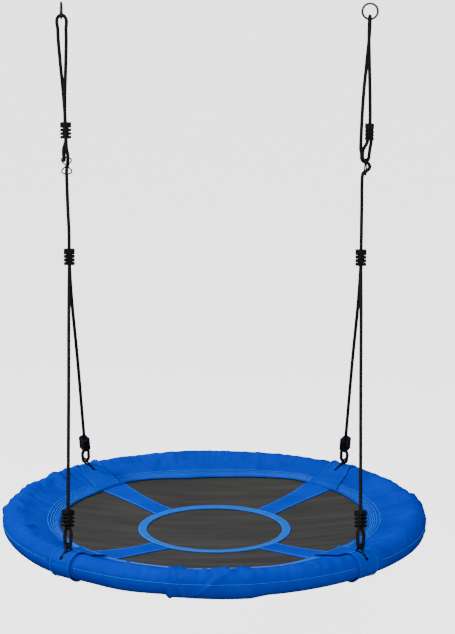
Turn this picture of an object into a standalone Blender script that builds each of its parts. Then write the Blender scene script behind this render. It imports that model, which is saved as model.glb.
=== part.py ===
"""Saucer nest swing: a round mat stretched in a padded hoop, hung on four ropes from two steel rings.

Metres, +Z up. The origin is midway between the centres of the two rings, +X points to the right
ring and the front of the seat is at -Y. Each side has a front and a rear rope that meet in a Y clamp.
From there one rope runs up, weaves through a figure-eight adjuster, turns over the ring and comes
back down to an end clamp, whose eye is hooked in the adjuster.
"""

import math

import bmesh
import bpy
from mathutils import Matrix, Vector

# Driving dimensions
SEAT_DROP = 1.192  # ring centres down to the middle of the rim
SEAT_RADIUS = 0.500
RIM_SECTION_RADIUS = 0.029
RIM_RADIUS = SEAT_RADIUS - RIM_SECTION_RADIUS
RING_HALF_SPAN = 0.348
Y_CLAMP_HALF_SPAN = 0.3365
Y_CLAMP_DROP = 0.565
EYE_X = 0.324
EYE_Y = 0.342
EYE_ABOVE_RIM = 0.038
HEM_RADIUS = 0.360
MAT_RADIUS = 0.438
MAT_SAG = 0.0365
MAT_SAG_RADIUS = 0.420

# Sections
ROPE_RADIUS = 0.004
RING_RADIUS = 0.0175
RING_WIRE_RADIUS = 0.0025
LINK_WIRE_RADIUS = 0.0023
ADJUSTER_WIRE_RADIUS = 0.0016
HOOP_TUBE_RADIUS = 0.0125
HOOP_WALL = 0.0012
SPIGOT_WALL = 0.0015
SPIGOT_LENGTH = 0.060
FOAM_WALL = 0.0112
COVER_WALL = 0.0012
BAND_WALL = 0.0012
MAT_WALL = 0.0020
STRAP_WALL = 0.0012
GAP = 0.0003  # between pieces that touch
FACET_GAP = 0.0008  # between curved sheets, whose facets differ
LEAD = 0.0030  # straight stretch where a rope leaves a clamp

# Reinforcement bands, slits and links
BAND_HALF_ANGLE = math.radians(4.0)
LINK_HALF_ANGLE = math.radians(3.5)
SLIT_INNER_RADIUS = 0.440
SLIT_OUTER_RADIUS = 0.497
SLIT_WIDTH = 0.0128
SLIT_FLOOR = 0.010
LINK_FOOT_RADIUS = HOOP_TUBE_RADIUS + LINK_WIRE_RADIUS + 0.0020
LINK_TOP_RADIUS = 0.0082

# Straps and centre ring on the mat
TAPE_OUTER_RADIUS = 0.181
TAPE_INNER_RADIUS = 0.160
STRAP_INNER_RADIUS = 0.183
STRAP_RING_WIDTH = 0.060
STRAP_HEM_WIDTH = 0.088
STRAP_WAIST_WIDTH = 0.050

# Clamps: ribs round a core that holds two strands side by side
CLAMP_HEIGHT = 0.036
RIB_HEIGHT = 0.0044
RIB_PITCH = 0.0084
RIB_COUNT = 3
RIB_SIZE = (0.0200, 0.0250)
CORE_SIZE = (0.0176, 0.0140)
STRAND_OFFSET = 0.0043
LOWER_CLAMP_UP_ROPE = 0.066

# Adjuster and end clamp, below the ring's centre
ADJUSTER_DROP = 0.3535
ADJUSTER_OFFSET = 0.003
ADJUSTER_HALF_HEIGHT = 0.0190
ADJUSTER_HALF_WIDTH = 0.0115
ADJUSTER_CROSSING = 0.00175
END_CLAMP_DROP = 0.273
END_CLAMP_OFFSET = 0.0094
LOOP_END = (-0.0098, -0.0020, -0.3070)  # where the loop meets the weave
WEAVE_END = (-0.0067, -0.0300)  # from the adjuster's centre
LEAN = Y_CLAMP_HALF_SPAN - RING_HALF_SPAN  # sideways, from the ring down to the Y clamp

ATTACH_ANGLE = math.atan2(EYE_Y, EYE_X)
CORNERS = {
    "back_right": (1, 1),
    "back_left": (-1, 1),
    "front_left": (-1, -1),
    "front_right": (1, -1),
}


# Scene, materials and objects
def clear_scene():
    for obj in list(bpy.data.objects):
        bpy.data.objects.remove(obj, do_unlink=True)


def new_collection(name):
    collection = bpy.data.collections.new(name)
    bpy.context.scene.collection.children.link(collection)
    return collection


def linear(channel):
    return channel / 12.92 if channel <= 0.04045 else ((channel + 0.055) / 1.055) ** 2.4


def principled(name, hex_colour, roughness, metallic=0.0):
    material = bpy.data.materials.new(name)
    material.use_nodes = True
    shader = material.node_tree.nodes["Principled BSDF"]
    channels = [int(hex_colour[i : i + 2], 16) / 255 for i in (0, 2, 4)]
    shader.inputs["Base Color"].default_value = (*map(linear, channels), 1.0)
    shader.inputs["Roughness"].default_value = roughness
    shader.inputs["Metallic"].default_value = metallic
    return material


def place(name, data, material, collection=None):
    obj = bpy.data.objects.new(name, data)
    (collection or PARTS).objects.link(obj)
    data.materials.append(material)
    return obj


def mesh_from(bm, name):
    mesh = bpy.data.meshes.new(name)
    bm.normal_update()
    bm.to_mesh(mesh)
    bm.free()
    mesh.shade_smooth()
    mesh.set_sharp_from_angle(angle=math.radians(40))
    return mesh


def wire(name, points, radius, material, cyclic=False):
    """A round bar or rope along the points, eight-sided."""
    curve = bpy.data.curves.new(name, "CURVE")
    curve.dimensions = "3D"
    curve.bevel_depth = radius
    curve.bevel_resolution = 2
    curve.use_fill_caps = not cyclic
    spline = curve.splines.new("POLY")
    spline.points.add(len(points) - 1)
    for point, co in zip(spline.points, points):
        point.co = (*co, 1.0)
    spline.use_cyclic_u = cyclic
    return place(name, curve, material)


def smooth_route(points, spacing):
    """Points at the given spacing on a smooth curve through the route's own points."""
    points = [Vector(p) for p in points]
    ends = [2 * points[0] - points[1], *points, 2 * points[-1] - points[-2]]
    route = [points[0]]
    for before, start, end, after in zip(ends, ends[1:], ends[2:], ends[3:]):
        count = max(1, round((end - start).length / spacing))
        for step in range(1, count + 1):
            t = step / count
            tangent_in, tangent_out = (end - before) / 2, (after - start) / 2
            route.append(
                start * (2 * t**3 - 3 * t**2 + 1)
                + tangent_in * (t**3 - 2 * t**2 + t)
                + end * (3 * t**2 - 2 * t**3)
                + tangent_out * (t**3 - t**2)
            )
    return route


def swept_sheet(name, profile, start, sweep, steps, thickness, material):
    """A sheet turned about Z from an open (radius, z) profile, thickened towards its inner side."""
    bm = bmesh.new()
    verts = [bm.verts.new((r * math.cos(start), r * math.sin(start), z)) for r, z in profile]
    edges = [bm.edges.new(pair) for pair in zip(verts, verts[1:])]
    full_turn = math.isclose(sweep, math.tau)
    bmesh.ops.spin(
        bm,
        geom=[*verts, *edges],
        axis=(0, 0, 1),
        cent=(0, 0, 0),
        angle=sweep,
        steps=steps,
        use_merge=full_turn,
        use_normal_flip=False,
    )
    bmesh.ops.remove_doubles(bm, verts=bm.verts, dist=1e-6)
    obj = place(name, mesh_from(bm, name), material)
    solidify = obj.modifiers.new("Thickness", "SOLIDIFY")
    solidify.thickness = thickness
    solidify.offset = -1.0
    solidify.use_even_offset = True
    return obj


def swept_sleeve(name, radius, wall, start, sweep, sides, steps, material):
    """A hollow tube bent along the rim circle, open at both ends."""
    bm = bmesh.new()
    centre = Vector((RIM_RADIUS * math.cos(start), RIM_RADIUS * math.sin(start), 0))
    outward = centre.normalized()
    verts = []
    for side in range(sides):
        angle = math.tau * side / sides
        offset = outward * radius * math.cos(angle) + Vector((0, 0, radius * math.sin(angle)))
        verts.append(bm.verts.new(centre + offset))
    edges = [bm.edges.new((verts[i], verts[(i + 1) % sides])) for i in range(sides)]
    bmesh.ops.spin(
        bm, geom=[*verts, *edges], axis=(0, 0, 1), cent=(0, 0, 0), angle=sweep, steps=steps
    )
    bmesh.ops.recalc_face_normals(bm, faces=bm.faces)
    obj = place(name, mesh_from(bm, name), material)
    solidify = obj.modifiers.new("Wall", "SOLIDIFY")
    solidify.thickness = wall
    solidify.offset = -1.0
    return obj


# Rope route and clamps
def line_shift(z):
    """How far the rope line leans sideways at a height below the ring."""
    return LEAN * min(1.0, -z / (Y_CLAMP_DROP - CLAMP_HEIGHT / 2))


class Side:
    """One side of the hanging gear. Its own x runs across the adjuster and its y along it."""

    def __init__(self, name, sign):
        self.name = name
        self.sign = sign
        self.turn = Matrix.Rotation(math.pi / 2 if sign < 0 else 0.0, 4, "Z")

    def at(self, x, y, z):
        """A place in the side's own axes, on the leaning rope line, in the object's frame."""
        point = self.turn @ Vector((x, y, z))
        point.x += self.sign * (RING_HALF_SPAN + line_shift(z))
        return point

    def at_ring(self, x, y, z):
        """The same with no lean, for the ring itself."""
        point = self.turn @ Vector((x, y, z))
        point.x += self.sign * RING_HALF_SPAN
        return point

    def clamp_base(self, x, z):
        """Where a clamp that stands upright has the middle of its lower face."""
        return Matrix.Translation(self.at(x, 0, z)) @ self.turn


def clamp_mesh():
    """Upright clamp, its lower face centred on the origin and its strands side by side along X."""
    levels = []
    for rib in range(RIB_COUNT):
        foot = rib * RIB_PITCH
        levels += [(foot, RIB_SIZE), (foot + RIB_HEIGHT, RIB_SIZE)]
        levels += [(foot + RIB_HEIGHT, CORE_SIZE), (foot + RIB_PITCH, CORE_SIZE)]
    levels += [(RIB_COUNT * RIB_PITCH, RIB_SIZE), (CLAMP_HEIGHT, RIB_SIZE)]
    bm = bmesh.new()
    bmesh.ops.create_grid(bm, x_segments=1, y_segments=1, size=0.5)
    bmesh.ops.scale(bm, vec=(*RIB_SIZE, 1.0), verts=bm.verts)
    corner = min(CORE_SIZE) * 0.25
    bmesh.ops.bevel(
        bm, geom=bm.verts[:], offset=corner, segments=1, affect="VERTICES", profile=0.5
    )
    top = next(iter(bm.faces))
    size, height = RIB_SIZE, 0.0
    for next_height, next_size in levels[1:]:
        raised = bmesh.ops.extrude_face_region(bm, geom=[top])["geom"]
        if height > 0:
            bmesh.ops.delete(bm, geom=[top], context="FACES_ONLY")
        top = next(item for item in raised if isinstance(item, bmesh.types.BMFace))
        ratio = (next_size[0] / size[0], next_size[1] / size[1], 1.0)
        bmesh.ops.scale(bm, vec=ratio, verts=top.verts)
        bmesh.ops.translate(bm, vec=(0, 0, next_height - height), verts=top.verts)
        size, height = next_size, next_height
    bmesh.ops.recalc_face_normals(bm, faces=bm.faces)
    mesh = mesh_from(bm, "clamp")
    mesh.shade_flat()
    return mesh


def add_clamp(name, matrix):
    obj = bpy.data.objects.new(name, CLAMP)
    PARTS.objects.link(obj)
    obj.matrix_world = matrix
    return obj


def frame_along(origin, up, across):
    """A matrix with Z along up and X as near as it goes to across."""
    z = up.normalized()
    x = (across - across.dot(z) * z).normalized()
    matrix = Matrix((x, z.cross(x), z)).transposed().to_4x4()
    matrix.translation = origin
    return matrix


# Sub-assemblies
def build_ring(side):
    steps = 16
    points = []
    for step in range(steps):
        angle = math.tau * step / steps
        points.append(
            side.at_ring(RING_RADIUS * math.cos(angle), 0, RING_RADIUS * math.sin(angle))
        )
    wire(f"ring_{side.name}", points, RING_WIRE_RADIUS, STEEL, cyclic=True)


def build_loop(side):
    """The rope from the adjuster up over the ring's lower bar and down to the end clamp."""
    bar = -RING_RADIUS
    arc_radius = 0.0090
    arc_centre = bar + RING_WIRE_RADIUS + ROPE_RADIUS + 2 * GAP - arc_radius
    over = [
        side.at(0, -arc_radius * math.cos(a), arc_centre + arc_radius * math.sin(a))
        for a in (math.pi * step / 6 for step in range(1, 6))
    ]
    end_clamp_top = -END_CLAMP_DROP + CLAMP_HEIGHT / 2 + GAP
    strand = END_CLAMP_OFFSET
    standing = [
        side.at(*LOOP_END),
        side.at(LOOP_END[0], LOOP_END[1], LOOP_END[2] + LEAD),
        side.at(-0.0096, -0.0008, -0.2700),
        side.at(-0.0080, -0.0025, -0.1900),
        side.at(-0.0035, -0.0070, -0.1100),
        side.at(0.0, -0.0092, -0.0450),
    ]
    tail = [
        side.at(0.0, 0.0092, -0.0450),
        side.at(0.0030, 0.0068, -0.1100),
        side.at(0.0072, 0.0022, -0.1900),
        side.at(strand, 0.0, end_clamp_top + LEAD),
        side.at(strand, 0.0, end_clamp_top),
    ]
    route = smooth_route([*standing, *over, *tail], 5 * ROPE_RADIUS)
    wire(f"loop_rope_{side.name}", route, ROPE_RADIUS, ROPE)


def build_adjuster(side):
    steps = 28
    centre = -ADJUSTER_DROP
    points = []
    for step in range(steps):
        angle = math.tau * step / steps
        points.append(
            side.at(
                ADJUSTER_OFFSET + ADJUSTER_CROSSING * math.cos(angle),
                ADJUSTER_HALF_WIDTH * math.sin(2 * angle),
                centre + ADJUSTER_HALF_HEIGHT * math.sin(angle),
            )
        )
    wire(f"adjuster_{side.name}", points, ADJUSTER_WIRE_RADIUS, DARK_STEEL, cyclic=True)

    # The standing rope passes the top wire, goes behind the waist and passes the bottom wire.
    through = [
        (-0.0101, -0.0044, 0.0264),
        (-0.0101, -0.0044, 0.0204),
        (-0.0058, -0.0039, 0.0132),
        (0.0064, -0.0021, 0.0074),
        (0.0099, -0.0018, 0.0),
        (0.0064, 0.0, -0.0068),
        (-0.0047, 0.0, -0.0151),
        (-0.0065, 0.0, -0.0220),
        (WEAVE_END[0], 0.0, WEAVE_END[1] + LEAD),
        (WEAVE_END[0], 0.0, WEAVE_END[1]),
    ]
    weave = [
        side.at(LOOP_END[0], LOOP_END[1], LOOP_END[2] - GAP),
        side.at(LOOP_END[0], LOOP_END[1], LOOP_END[2] - GAP - LEAD),
    ]
    weave += [side.at(ADJUSTER_OFFSET + x, y, centre + z) for x, y, z in through]
    wire(f"weave_rope_{side.name}", smooth_route(weave, ROPE_RADIUS), ROPE_RADIUS, ROPE)

    base = -END_CLAMP_DROP - CLAMP_HEIGHT / 2
    add_clamp(f"end_clamp_{side.name}", side.clamp_base(END_CLAMP_OFFSET, base))

    # The end clamp's eye is hooked under the adjuster's top wire.
    hook = centre + ADJUSTER_HALF_HEIGHT
    turn = ADJUSTER_WIRE_RADIUS + ROPE_RADIUS + 3 * GAP
    beside_y = 0.0052
    under = [
        side.at(
            ADJUSTER_OFFSET - turn * math.cos(a), beside_y, hook - turn * math.sin(a)
        )
        for a in (math.pi * step / 6 for step in range(7))
    ]
    near, far = END_CLAMP_OFFSET - STRAND_OFFSET, END_CLAMP_OFFSET + STRAND_OFFSET
    eye = [
        side.at(near, 0.0, base - GAP),
        side.at(near, 0.0, base - GAP - LEAD),
        side.at(ADJUSTER_OFFSET - turn, beside_y, base - 0.0250),
        *under,
        side.at(ADJUSTER_OFFSET + turn + 0.0020, beside_y, base - 0.0250),
        side.at(far, 0.0, base - GAP - LEAD),
        side.at(far, 0.0, base - GAP),
    ]
    wire(f"end_eye_{side.name}", smooth_route(eye, 2 * ROPE_RADIUS), ROPE_RADIUS, ROPE)


def build_bridle(side):
    """The Y clamp, the rope above it and the front and rear ropes with their eyes."""
    clamp_axis_x = side.sign * Y_CLAMP_HALF_SPAN
    clamp_foot = -Y_CLAMP_DROP - CLAMP_HEIGHT / 2
    foot = Vector((clamp_axis_x, 0, clamp_foot))
    add_clamp(f"y_clamp_{side.name}", frame_along(foot, Vector((0, 0, 1)), Vector((0, 1, 0))))

    weave_end = -ADJUSTER_DROP + WEAVE_END[1] - GAP
    clamp_top = clamp_foot + CLAMP_HEIGHT + GAP
    beside = ADJUSTER_OFFSET + WEAVE_END[0]
    standing = [
        side.at(beside, 0.0, weave_end),
        side.at(beside, 0.0, weave_end - LEAD),
        side.at(beside * 0.6, 0.0, weave_end - 0.060),
        Vector((clamp_axis_x, -STRAND_OFFSET * 0.5, clamp_top + 0.040)),
        Vector((clamp_axis_x, -STRAND_OFFSET * 0.5, clamp_top)),
    ]
    wire(f"standing_rope_{side.name}", smooth_route(standing, 0.02), ROPE_RADIUS, ROPE)

    for name in CORNERS:
        if name.endswith(side.name):
            build_lower_rope(name)


def eye_frame(corner):
    """Where a lower rope leaves its Y clamp, where its eye is hooked, and the matrix at the hook."""
    sign_x, sign_y = CORNERS[corner]
    clamp_foot_z = -Y_CLAMP_DROP - CLAMP_HEIGHT / 2
    leave = Vector((sign_x * Y_CLAMP_HALF_SPAN, sign_y * STRAND_OFFSET, clamp_foot_z - GAP))
    hook = Vector((sign_x * EYE_X, sign_y * EYE_Y, EYE_ABOVE_RIM - SEAT_DROP))
    tangent = Vector((-hook.y, hook.x, 0))
    return leave, hook, frame_along(hook, leave - hook, tangent)


def build_lower_rope(corner):
    """One lower rope: straight down to its clamp, then the eye that holds the steel link."""
    leave, hook, matrix = eye_frame(corner)
    up = matrix.to_3x3() @ Vector((0, 0, 1))
    clamp_foot = hook + up * (LOWER_CLAMP_UP_ROPE - CLAMP_HEIGHT / 2)
    matrix.translation = clamp_foot
    add_clamp(f"lower_clamp_{corner}", matrix)

    across = matrix.to_3x3() @ Vector((1, 0, 0))
    clamp_top = clamp_foot + up * (CLAMP_HEIGHT + GAP)
    rope = [
        leave,
        leave - Vector((0, 0, LEAD)),
        leave - Vector((0, -math.copysign(0.0060, leave.y), 0.0160)),
        clamp_top + up * 0.25,
        clamp_top + up * 0.04,
        clamp_top,
    ]
    wire(f"lower_rope_{corner}", smooth_route(rope, 0.15), ROPE_RADIUS, ROPE)

    width = 0.0088
    eye_half = [
        clamp_foot - up * GAP - across * STRAND_OFFSET,
        clamp_foot - up * (GAP + LEAD) - across * STRAND_OFFSET,
        clamp_foot - up * 0.0140 - across * width,
        hook + up * 0.0190 - across * width,
    ]
    turn = 0.0072
    bottom = [
        hook + up * (turn - turn * math.sin(a)) - across * turn * math.cos(a)
        for a in (math.pi * step / 6 for step in range(1, 6))
    ]
    mirrored = []
    for point in reversed(eye_half):
        offset = (point - hook).dot(across)
        mirrored.append(point - 2 * offset * across)
    eye = smooth_route([*eye_half, *bottom, *mirrored], 2 * ROPE_RADIUS)
    wire(f"lower_eye_{corner}", eye, ROPE_RADIUS, ROPE)
    build_link(corner, hook, across)


def build_link(corner, hook, across):
    """A closed wire link round the hoop, narrow at the top, in the plane square to the eye."""
    foot = link_foot(hook, across)
    up = (hook - foot).normalized()
    beside = up.cross(across)
    reach = (hook - foot).length
    lean = math.asin((LINK_FOOT_RADIUS - LINK_TOP_RADIUS) / reach)
    points = []
    for centre, radius, start, sweep, steps in (
        (hook, LINK_TOP_RADIUS, lean, math.pi - 2 * lean, 6),
        (foot, LINK_FOOT_RADIUS, math.pi - lean, math.pi + 2 * lean, 9),
    ):
        for step in range(steps + 1):
            angle = start + sweep * step / steps
            points.append(centre + radius * (beside * math.cos(angle) + up * math.sin(angle)))
    wire(f"hanger_link_{corner}", points, LINK_WIRE_RADIUS, DARK_STEEL, cyclic=True)


def link_foot(hook, across):
    """Where the hoop's centre line passes through the link's plane."""
    outward = Vector((hook.x, hook.y, 0)).normalized()
    tangent = Vector((-outward.y, outward.x, 0))
    below = outward * RIM_RADIUS + Vector((0, 0, -SEAT_DROP))
    return below + tangent * ((hook - below).dot(across) / tangent.dot(across))


def rim_profile(offset, hem_radius):
    """(radius, z) from the top hem, over the rim and back to the lower hem."""
    arc = []
    for step in range(10):
        angle = math.radians(115 - 230 * step / 9)
        arc.append(
            (
                RIM_RADIUS + (RIM_SECTION_RADIUS + offset) * math.cos(angle),
                (RIM_SECTION_RADIUS + offset) * math.sin(angle),
            )
        )
    top = [(hem_radius, -0.0030), (0.400, 0.0040), (0.435, 0.0150)]
    bottom = [(0.435, -0.0190), (0.400, -0.0150), (hem_radius, -0.0160)]
    return (
        [(r, z + offset) for r, z in top] + arc + [(r, z - offset) for r, z in bottom]
    )


def at_seat(profile):
    return [(r, z - SEAT_DROP) for r, z in profile]


def mat_height(radius):
    return -MAT_SAG * (1 - (radius / MAT_SAG_RADIUS) ** 2)


def cut_slit(obj, angle):
    """Cuts the radial slit that the link comes up through."""
    length = SLIT_OUTER_RADIUS - SLIT_INNER_RADIUS
    height = RIM_SECTION_RADIUS * 2
    bm = bmesh.new()
    bmesh.ops.create_cube(bm, size=1.0)
    bmesh.ops.scale(bm, vec=(length, SLIT_WIDTH, height), verts=bm.verts)
    middle = (SLIT_INNER_RADIUS + SLIT_OUTER_RADIUS) / 2
    bmesh.ops.translate(
        bm, vec=(middle, 0, SLIT_FLOOR + height / 2 - SEAT_DROP), verts=bm.verts
    )
    bmesh.ops.rotate(bm, cent=(0, 0, 0), matrix=Matrix.Rotation(angle, 3, "Z"), verts=bm.verts)
    name = f"slit_cutter_{len(CUTTERS.objects)}"
    cutter = place(name, mesh_from(bm, name), BLUE, CUTTERS)
    cutter.hide_render = True
    cutter.display_type = "WIRE"
    cut = obj.modifiers.new("Slit", "BOOLEAN")
    cut.operation = "DIFFERENCE"
    cut.solver = "EXACT"
    cut.object = cutter


def build_hoop():
    joint_angles = [math.radians(a) for a in (0, 90, 180, 270)]
    names = list(CORNERS)
    end_gap = GAP / RIM_RADIUS
    for name, start in zip(names, joint_angles):
        swept_sleeve(
            f"hoop_tube_{name}", HOOP_TUBE_RADIUS, HOOP_WALL,
            start + end_gap, math.pi / 2 - 2 * end_gap, 8, 12, STEEL,
        )
    spigot_angle = SPIGOT_LENGTH / RIM_RADIUS
    for name, middle in zip(("right", "back", "left", "front"), joint_angles):
        swept_sleeve(
            f"hoop_spigot_{name}", HOOP_TUBE_RADIUS - HOOP_WALL - 2 * FACET_GAP, SPIGOT_WALL,
            middle - spigot_angle / 2, spigot_angle, 8, 2, STEEL,
        )
    attach = [
        ATTACH_ANGLE, math.pi - ATTACH_ANGLE, math.pi + ATTACH_ANGLE, math.tau - ATTACH_ANGLE
    ]
    foam_names = ("back", "left", "front", "right")
    for name, start, end in zip(foam_names, attach, attach[1:] + [attach[0] + math.tau]):
        swept_sleeve(
            f"foam_sleeve_{name}", HOOP_TUBE_RADIUS + 2 * FACET_GAP + FOAM_WALL, FOAM_WALL,
            start + LINK_HALF_ANGLE, end - start - 2 * LINK_HALF_ANGLE, 8, 12, FOAM,
        )
    return attach


def slit_angle(corner):
    """The direction in which a link comes up through the top of the rim."""
    _, hook, matrix = eye_frame(corner)
    foot = link_foot(hook, matrix.to_3x3() @ Vector((1, 0, 0)))
    place_at_top = hook.lerp(foot, 1 - RIM_SECTION_RADIUS / EYE_ABOVE_RIM)
    return math.atan2(place_at_top.y, place_at_top.x)


def build_cover():
    cover = swept_sheet(
        "cover", at_seat(rim_profile(0.0, HEM_RADIUS)), 0.0, math.tau, 48, COVER_WALL, BLUE
    )
    outside = BAND_WALL + FACET_GAP
    for name in CORNERS:
        angle = slit_angle(name)
        cut_slit(cover, angle)
        band = swept_sheet(
            f"slit_band_{name}", at_seat(rim_profile(outside, HEM_RADIUS)),
            angle - BAND_HALF_ANGLE, 2 * BAND_HALF_ANGLE, 4, BAND_WALL, BLUE,
        )
        cut_slit(band, angle)


def build_mat(attach):
    radii = [0.0001, 0.10, 0.19, 0.27, 0.35, MAT_RADIUS]
    profile = [(r, mat_height(r) + MAT_WALL / 2) for r in radii]
    swept_sheet("mat", at_seat(profile), 0.0, math.tau, 36, MAT_WALL, DARK_FABRIC)

    lift = MAT_WALL / 2 + FACET_GAP + STRAP_WALL
    tape = [(r, mat_height(r) + lift) for r in (TAPE_INNER_RADIUS, TAPE_OUTER_RADIUS)]
    swept_sheet("centre_ring", at_seat(tape), 0.0, math.tau, 36, STRAP_WALL, LIGHT_BLUE)
    for name, angle in zip(CORNERS, attach):
        build_cross_strap(name, angle, lift)


def build_cross_strap(name, angle, lift):
    """A strap with waisted edges on the mat, from the centre ring out to the hem."""
    outward = Vector((math.cos(angle), math.sin(angle), 0))
    sideways = Vector((-outward.y, outward.x, 0))
    outer_radius = HEM_RADIUS - 0.008
    waist_depth = (STRAP_RING_WIDTH + STRAP_HEM_WIDTH) / 2 - STRAP_WAIST_WIDTH
    steps, half_steps = 6, 1
    bm = bmesh.new()
    rows = []
    for step in range(steps + 1):
        t = step / steps
        radius = STRAP_INNER_RADIUS + (outer_radius - STRAP_INNER_RADIUS) * t
        straight = STRAP_RING_WIDTH + (STRAP_HEM_WIDTH - STRAP_RING_WIDTH) * t
        half_width = (straight - waist_depth * 4 * t * (1 - t)) / 2
        row = []
        for across in range(-half_steps, half_steps + 1):
            along = sideways * half_width * across / half_steps
            reach = math.sqrt(radius**2 - along.length**2)
            spot = outward * reach + along
            spot.z = mat_height(radius) + lift - SEAT_DROP
            row.append(bm.verts.new(spot))
        rows.append(row)
    for inner, outer in zip(rows, rows[1:]):
        for i in range(2 * half_steps):
            bm.faces.new((inner[i], outer[i], outer[i + 1], inner[i + 1]))
    obj = place(f"cross_strap_{name}", mesh_from(bm, name), BLUE)
    solidify = obj.modifiers.new("Thickness", "SOLIDIFY")
    solidify.thickness = STRAP_WALL
    solidify.offset = -1.0


# Joint axes: each moving piece is parented to an empty that stands on its joint
PIVOTS = {
    "swing": (None, (RING_HALF_SPAN, 0, -RING_RADIUS)),
    "sway_left": ("swing", (-RING_HALF_SPAN, 0, -RING_RADIUS)),
    "sway_right": ("swing", (RING_HALF_SPAN, 0, 0)),
    "tensioner_left": ("sway_left", (-RING_HALF_SPAN, 0, -ADJUSTER_DROP)),
    "tensioner_right": ("sway_right", (RING_HALF_SPAN, 0, -ADJUSTER_DROP)),
    "bridle_left": ("tensioner_left", (-Y_CLAMP_HALF_SPAN, 0, -Y_CLAMP_DROP)),
    "bridle_right": ("tensioner_right", (Y_CLAMP_HALF_SPAN, 0, -Y_CLAMP_DROP)),
    "seat": ("bridle_left", (-EYE_X, 0, EYE_ABOVE_RIM - SEAT_DROP)),
}
CARRIED = {
    "loop_rope": "sway",
    "adjuster": "tensioner",
    "weave_rope": "tensioner",
    "end_clamp": "tensioner",
    "end_eye": "tensioner",
    "standing_rope": "tensioner",
    "y_clamp": "bridle",
    "lower_rope": "bridle",
    "lower_clamp": "bridle",
    "lower_eye": "bridle",
}


def pivot_name(piece):
    """The joint that a piece moves with, or None for the one that stays on the beam."""
    side = piece.rsplit("_", 1)[1] if "_" in piece else ""
    for kind, body in CARRIED.items():
        if piece.startswith(kind):
            return f"{body}_{side}"
    if piece.startswith("ring_"):
        return "swing" if side == "left" else None
    return "seat"


def build_pivots():
    empties = {}
    for name, (parent, place_at) in PIVOTS.items():
        empty = bpy.data.objects.new(f"pivot_{name}", None)
        empty.empty_display_size = RING_RADIUS
        PARTS.objects.link(empty)
        hang(empty, empties.get(parent), Vector(place_at))
        empties[name] = empty
    for obj in [item for item in PARTS.objects if item.type != "EMPTY"]:
        name = pivot_name(obj.name)
        if name:
            obj.parent = empties[name]
            obj.matrix_parent_inverse = Matrix.Translation(-Vector(PIVOTS[name][1]))


def hang(empty, parent, place_at):
    """Stands an empty at a place in the object's frame, below its parent."""
    empty.location = place_at
    if parent:
        empty.parent = parent
        empty.matrix_parent_inverse = Matrix.Translation(
            -Vector(PIVOTS[parent.name.removeprefix("pivot_")][1])
        )


clear_scene()
PARTS = new_collection("saucer_nest_swing")
CUTTERS = new_collection("cutters")
STEEL = principled("galvanised_steel", "8d8f92", 0.35, 1.0)
DARK_STEEL = principled("black_steel", "26262a", 0.35, 1.0)
ROPE = principled("braided_rope", "201c1a", 0.8)
PLASTIC = principled("clamp_plastic", "1c1a22", 0.4)
BLUE = principled("cover_fabric", "0a5ec4", 0.6)
LIGHT_BLUE = principled("ring_tape", "1e86dc", 0.6)
DARK_FABRIC = principled("mat_fabric", "3d3a36", 0.8)
FOAM = principled("foam", "d8d8d4", 0.9)
CLAMP = clamp_mesh()
CLAMP.materials.append(PLASTIC)

for side_name, side_sign in (("left", -1), ("right", 1)):
    gear = Side(side_name, side_sign)
    build_ring(gear)
    build_loop(gear)
    build_adjuster(gear)
    build_bridle(gear)
attach_angles = build_hoop()
build_cover()
build_mat(attach_angles)
for seat_obj in PARTS.objects:
    if seat_obj.name.startswith(("hoop_", "foam_")):
        seat_obj.location.z = -SEAT_DROP
build_pivots()
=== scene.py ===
"""Saucer nest swing: a woven mat in a padded hoop, hung on four braided ropes from two steel rings.

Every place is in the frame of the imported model: metres, +Z up, the origin midway between the ring
centres, the front of the seat at -Y.
"""

import logging
import math
from collections.abc import Sequence
from dataclasses import dataclass, field
from enum import Enum

import bpy
import numpy as np
from mathutils import Matrix, Vector


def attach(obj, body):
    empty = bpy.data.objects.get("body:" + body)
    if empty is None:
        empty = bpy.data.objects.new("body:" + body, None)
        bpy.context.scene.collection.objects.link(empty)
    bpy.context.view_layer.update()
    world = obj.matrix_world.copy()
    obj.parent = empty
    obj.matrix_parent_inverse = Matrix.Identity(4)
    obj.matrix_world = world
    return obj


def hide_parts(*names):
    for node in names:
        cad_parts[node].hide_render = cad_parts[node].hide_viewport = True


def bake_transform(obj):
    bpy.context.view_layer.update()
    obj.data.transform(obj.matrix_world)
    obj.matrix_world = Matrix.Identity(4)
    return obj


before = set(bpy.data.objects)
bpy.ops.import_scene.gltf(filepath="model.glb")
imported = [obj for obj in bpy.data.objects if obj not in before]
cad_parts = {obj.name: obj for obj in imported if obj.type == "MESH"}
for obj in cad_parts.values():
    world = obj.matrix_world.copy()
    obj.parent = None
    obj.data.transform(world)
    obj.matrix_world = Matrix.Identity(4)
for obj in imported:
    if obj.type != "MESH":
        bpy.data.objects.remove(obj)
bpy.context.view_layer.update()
LOG = logging.getLogger("saucer_nest_swing")
MM = 0.001
UV_NAME = "cloth"  # in metres on cloth, in turns and metres on a rope


class Corner(Enum):
    """The four places where a lower rope meets the rim, as the signs of X and Y."""

    back_right = (1, 1)
    back_left = (-1, 1)
    front_left = (-1, -1)
    front_right = (1, -1)

    @property
    def side(self) -> str:
        """The side of the swing that this corner belongs to.

        Returns:
            left or right.
        """
        return "right" if self.value[0] > 0 else "left"


# Shader nodes


def linear(hex_colour: str) -> tuple[float, float, float, float]:
    """Turns an sRGB hex colour into linear RGBA.

    Args:
        hex_colour: Six hex digits.

    Returns:
        The linear colour with full opacity.
    """
    channels = [int(hex_colour[i : i + 2], 16) / 255 for i in (0, 2, 4)]
    return (*(c / 12.92 if c <= 0.04045 else ((c + 0.055) / 1.055) ** 2.4 for c in channels), 1.0)


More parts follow.
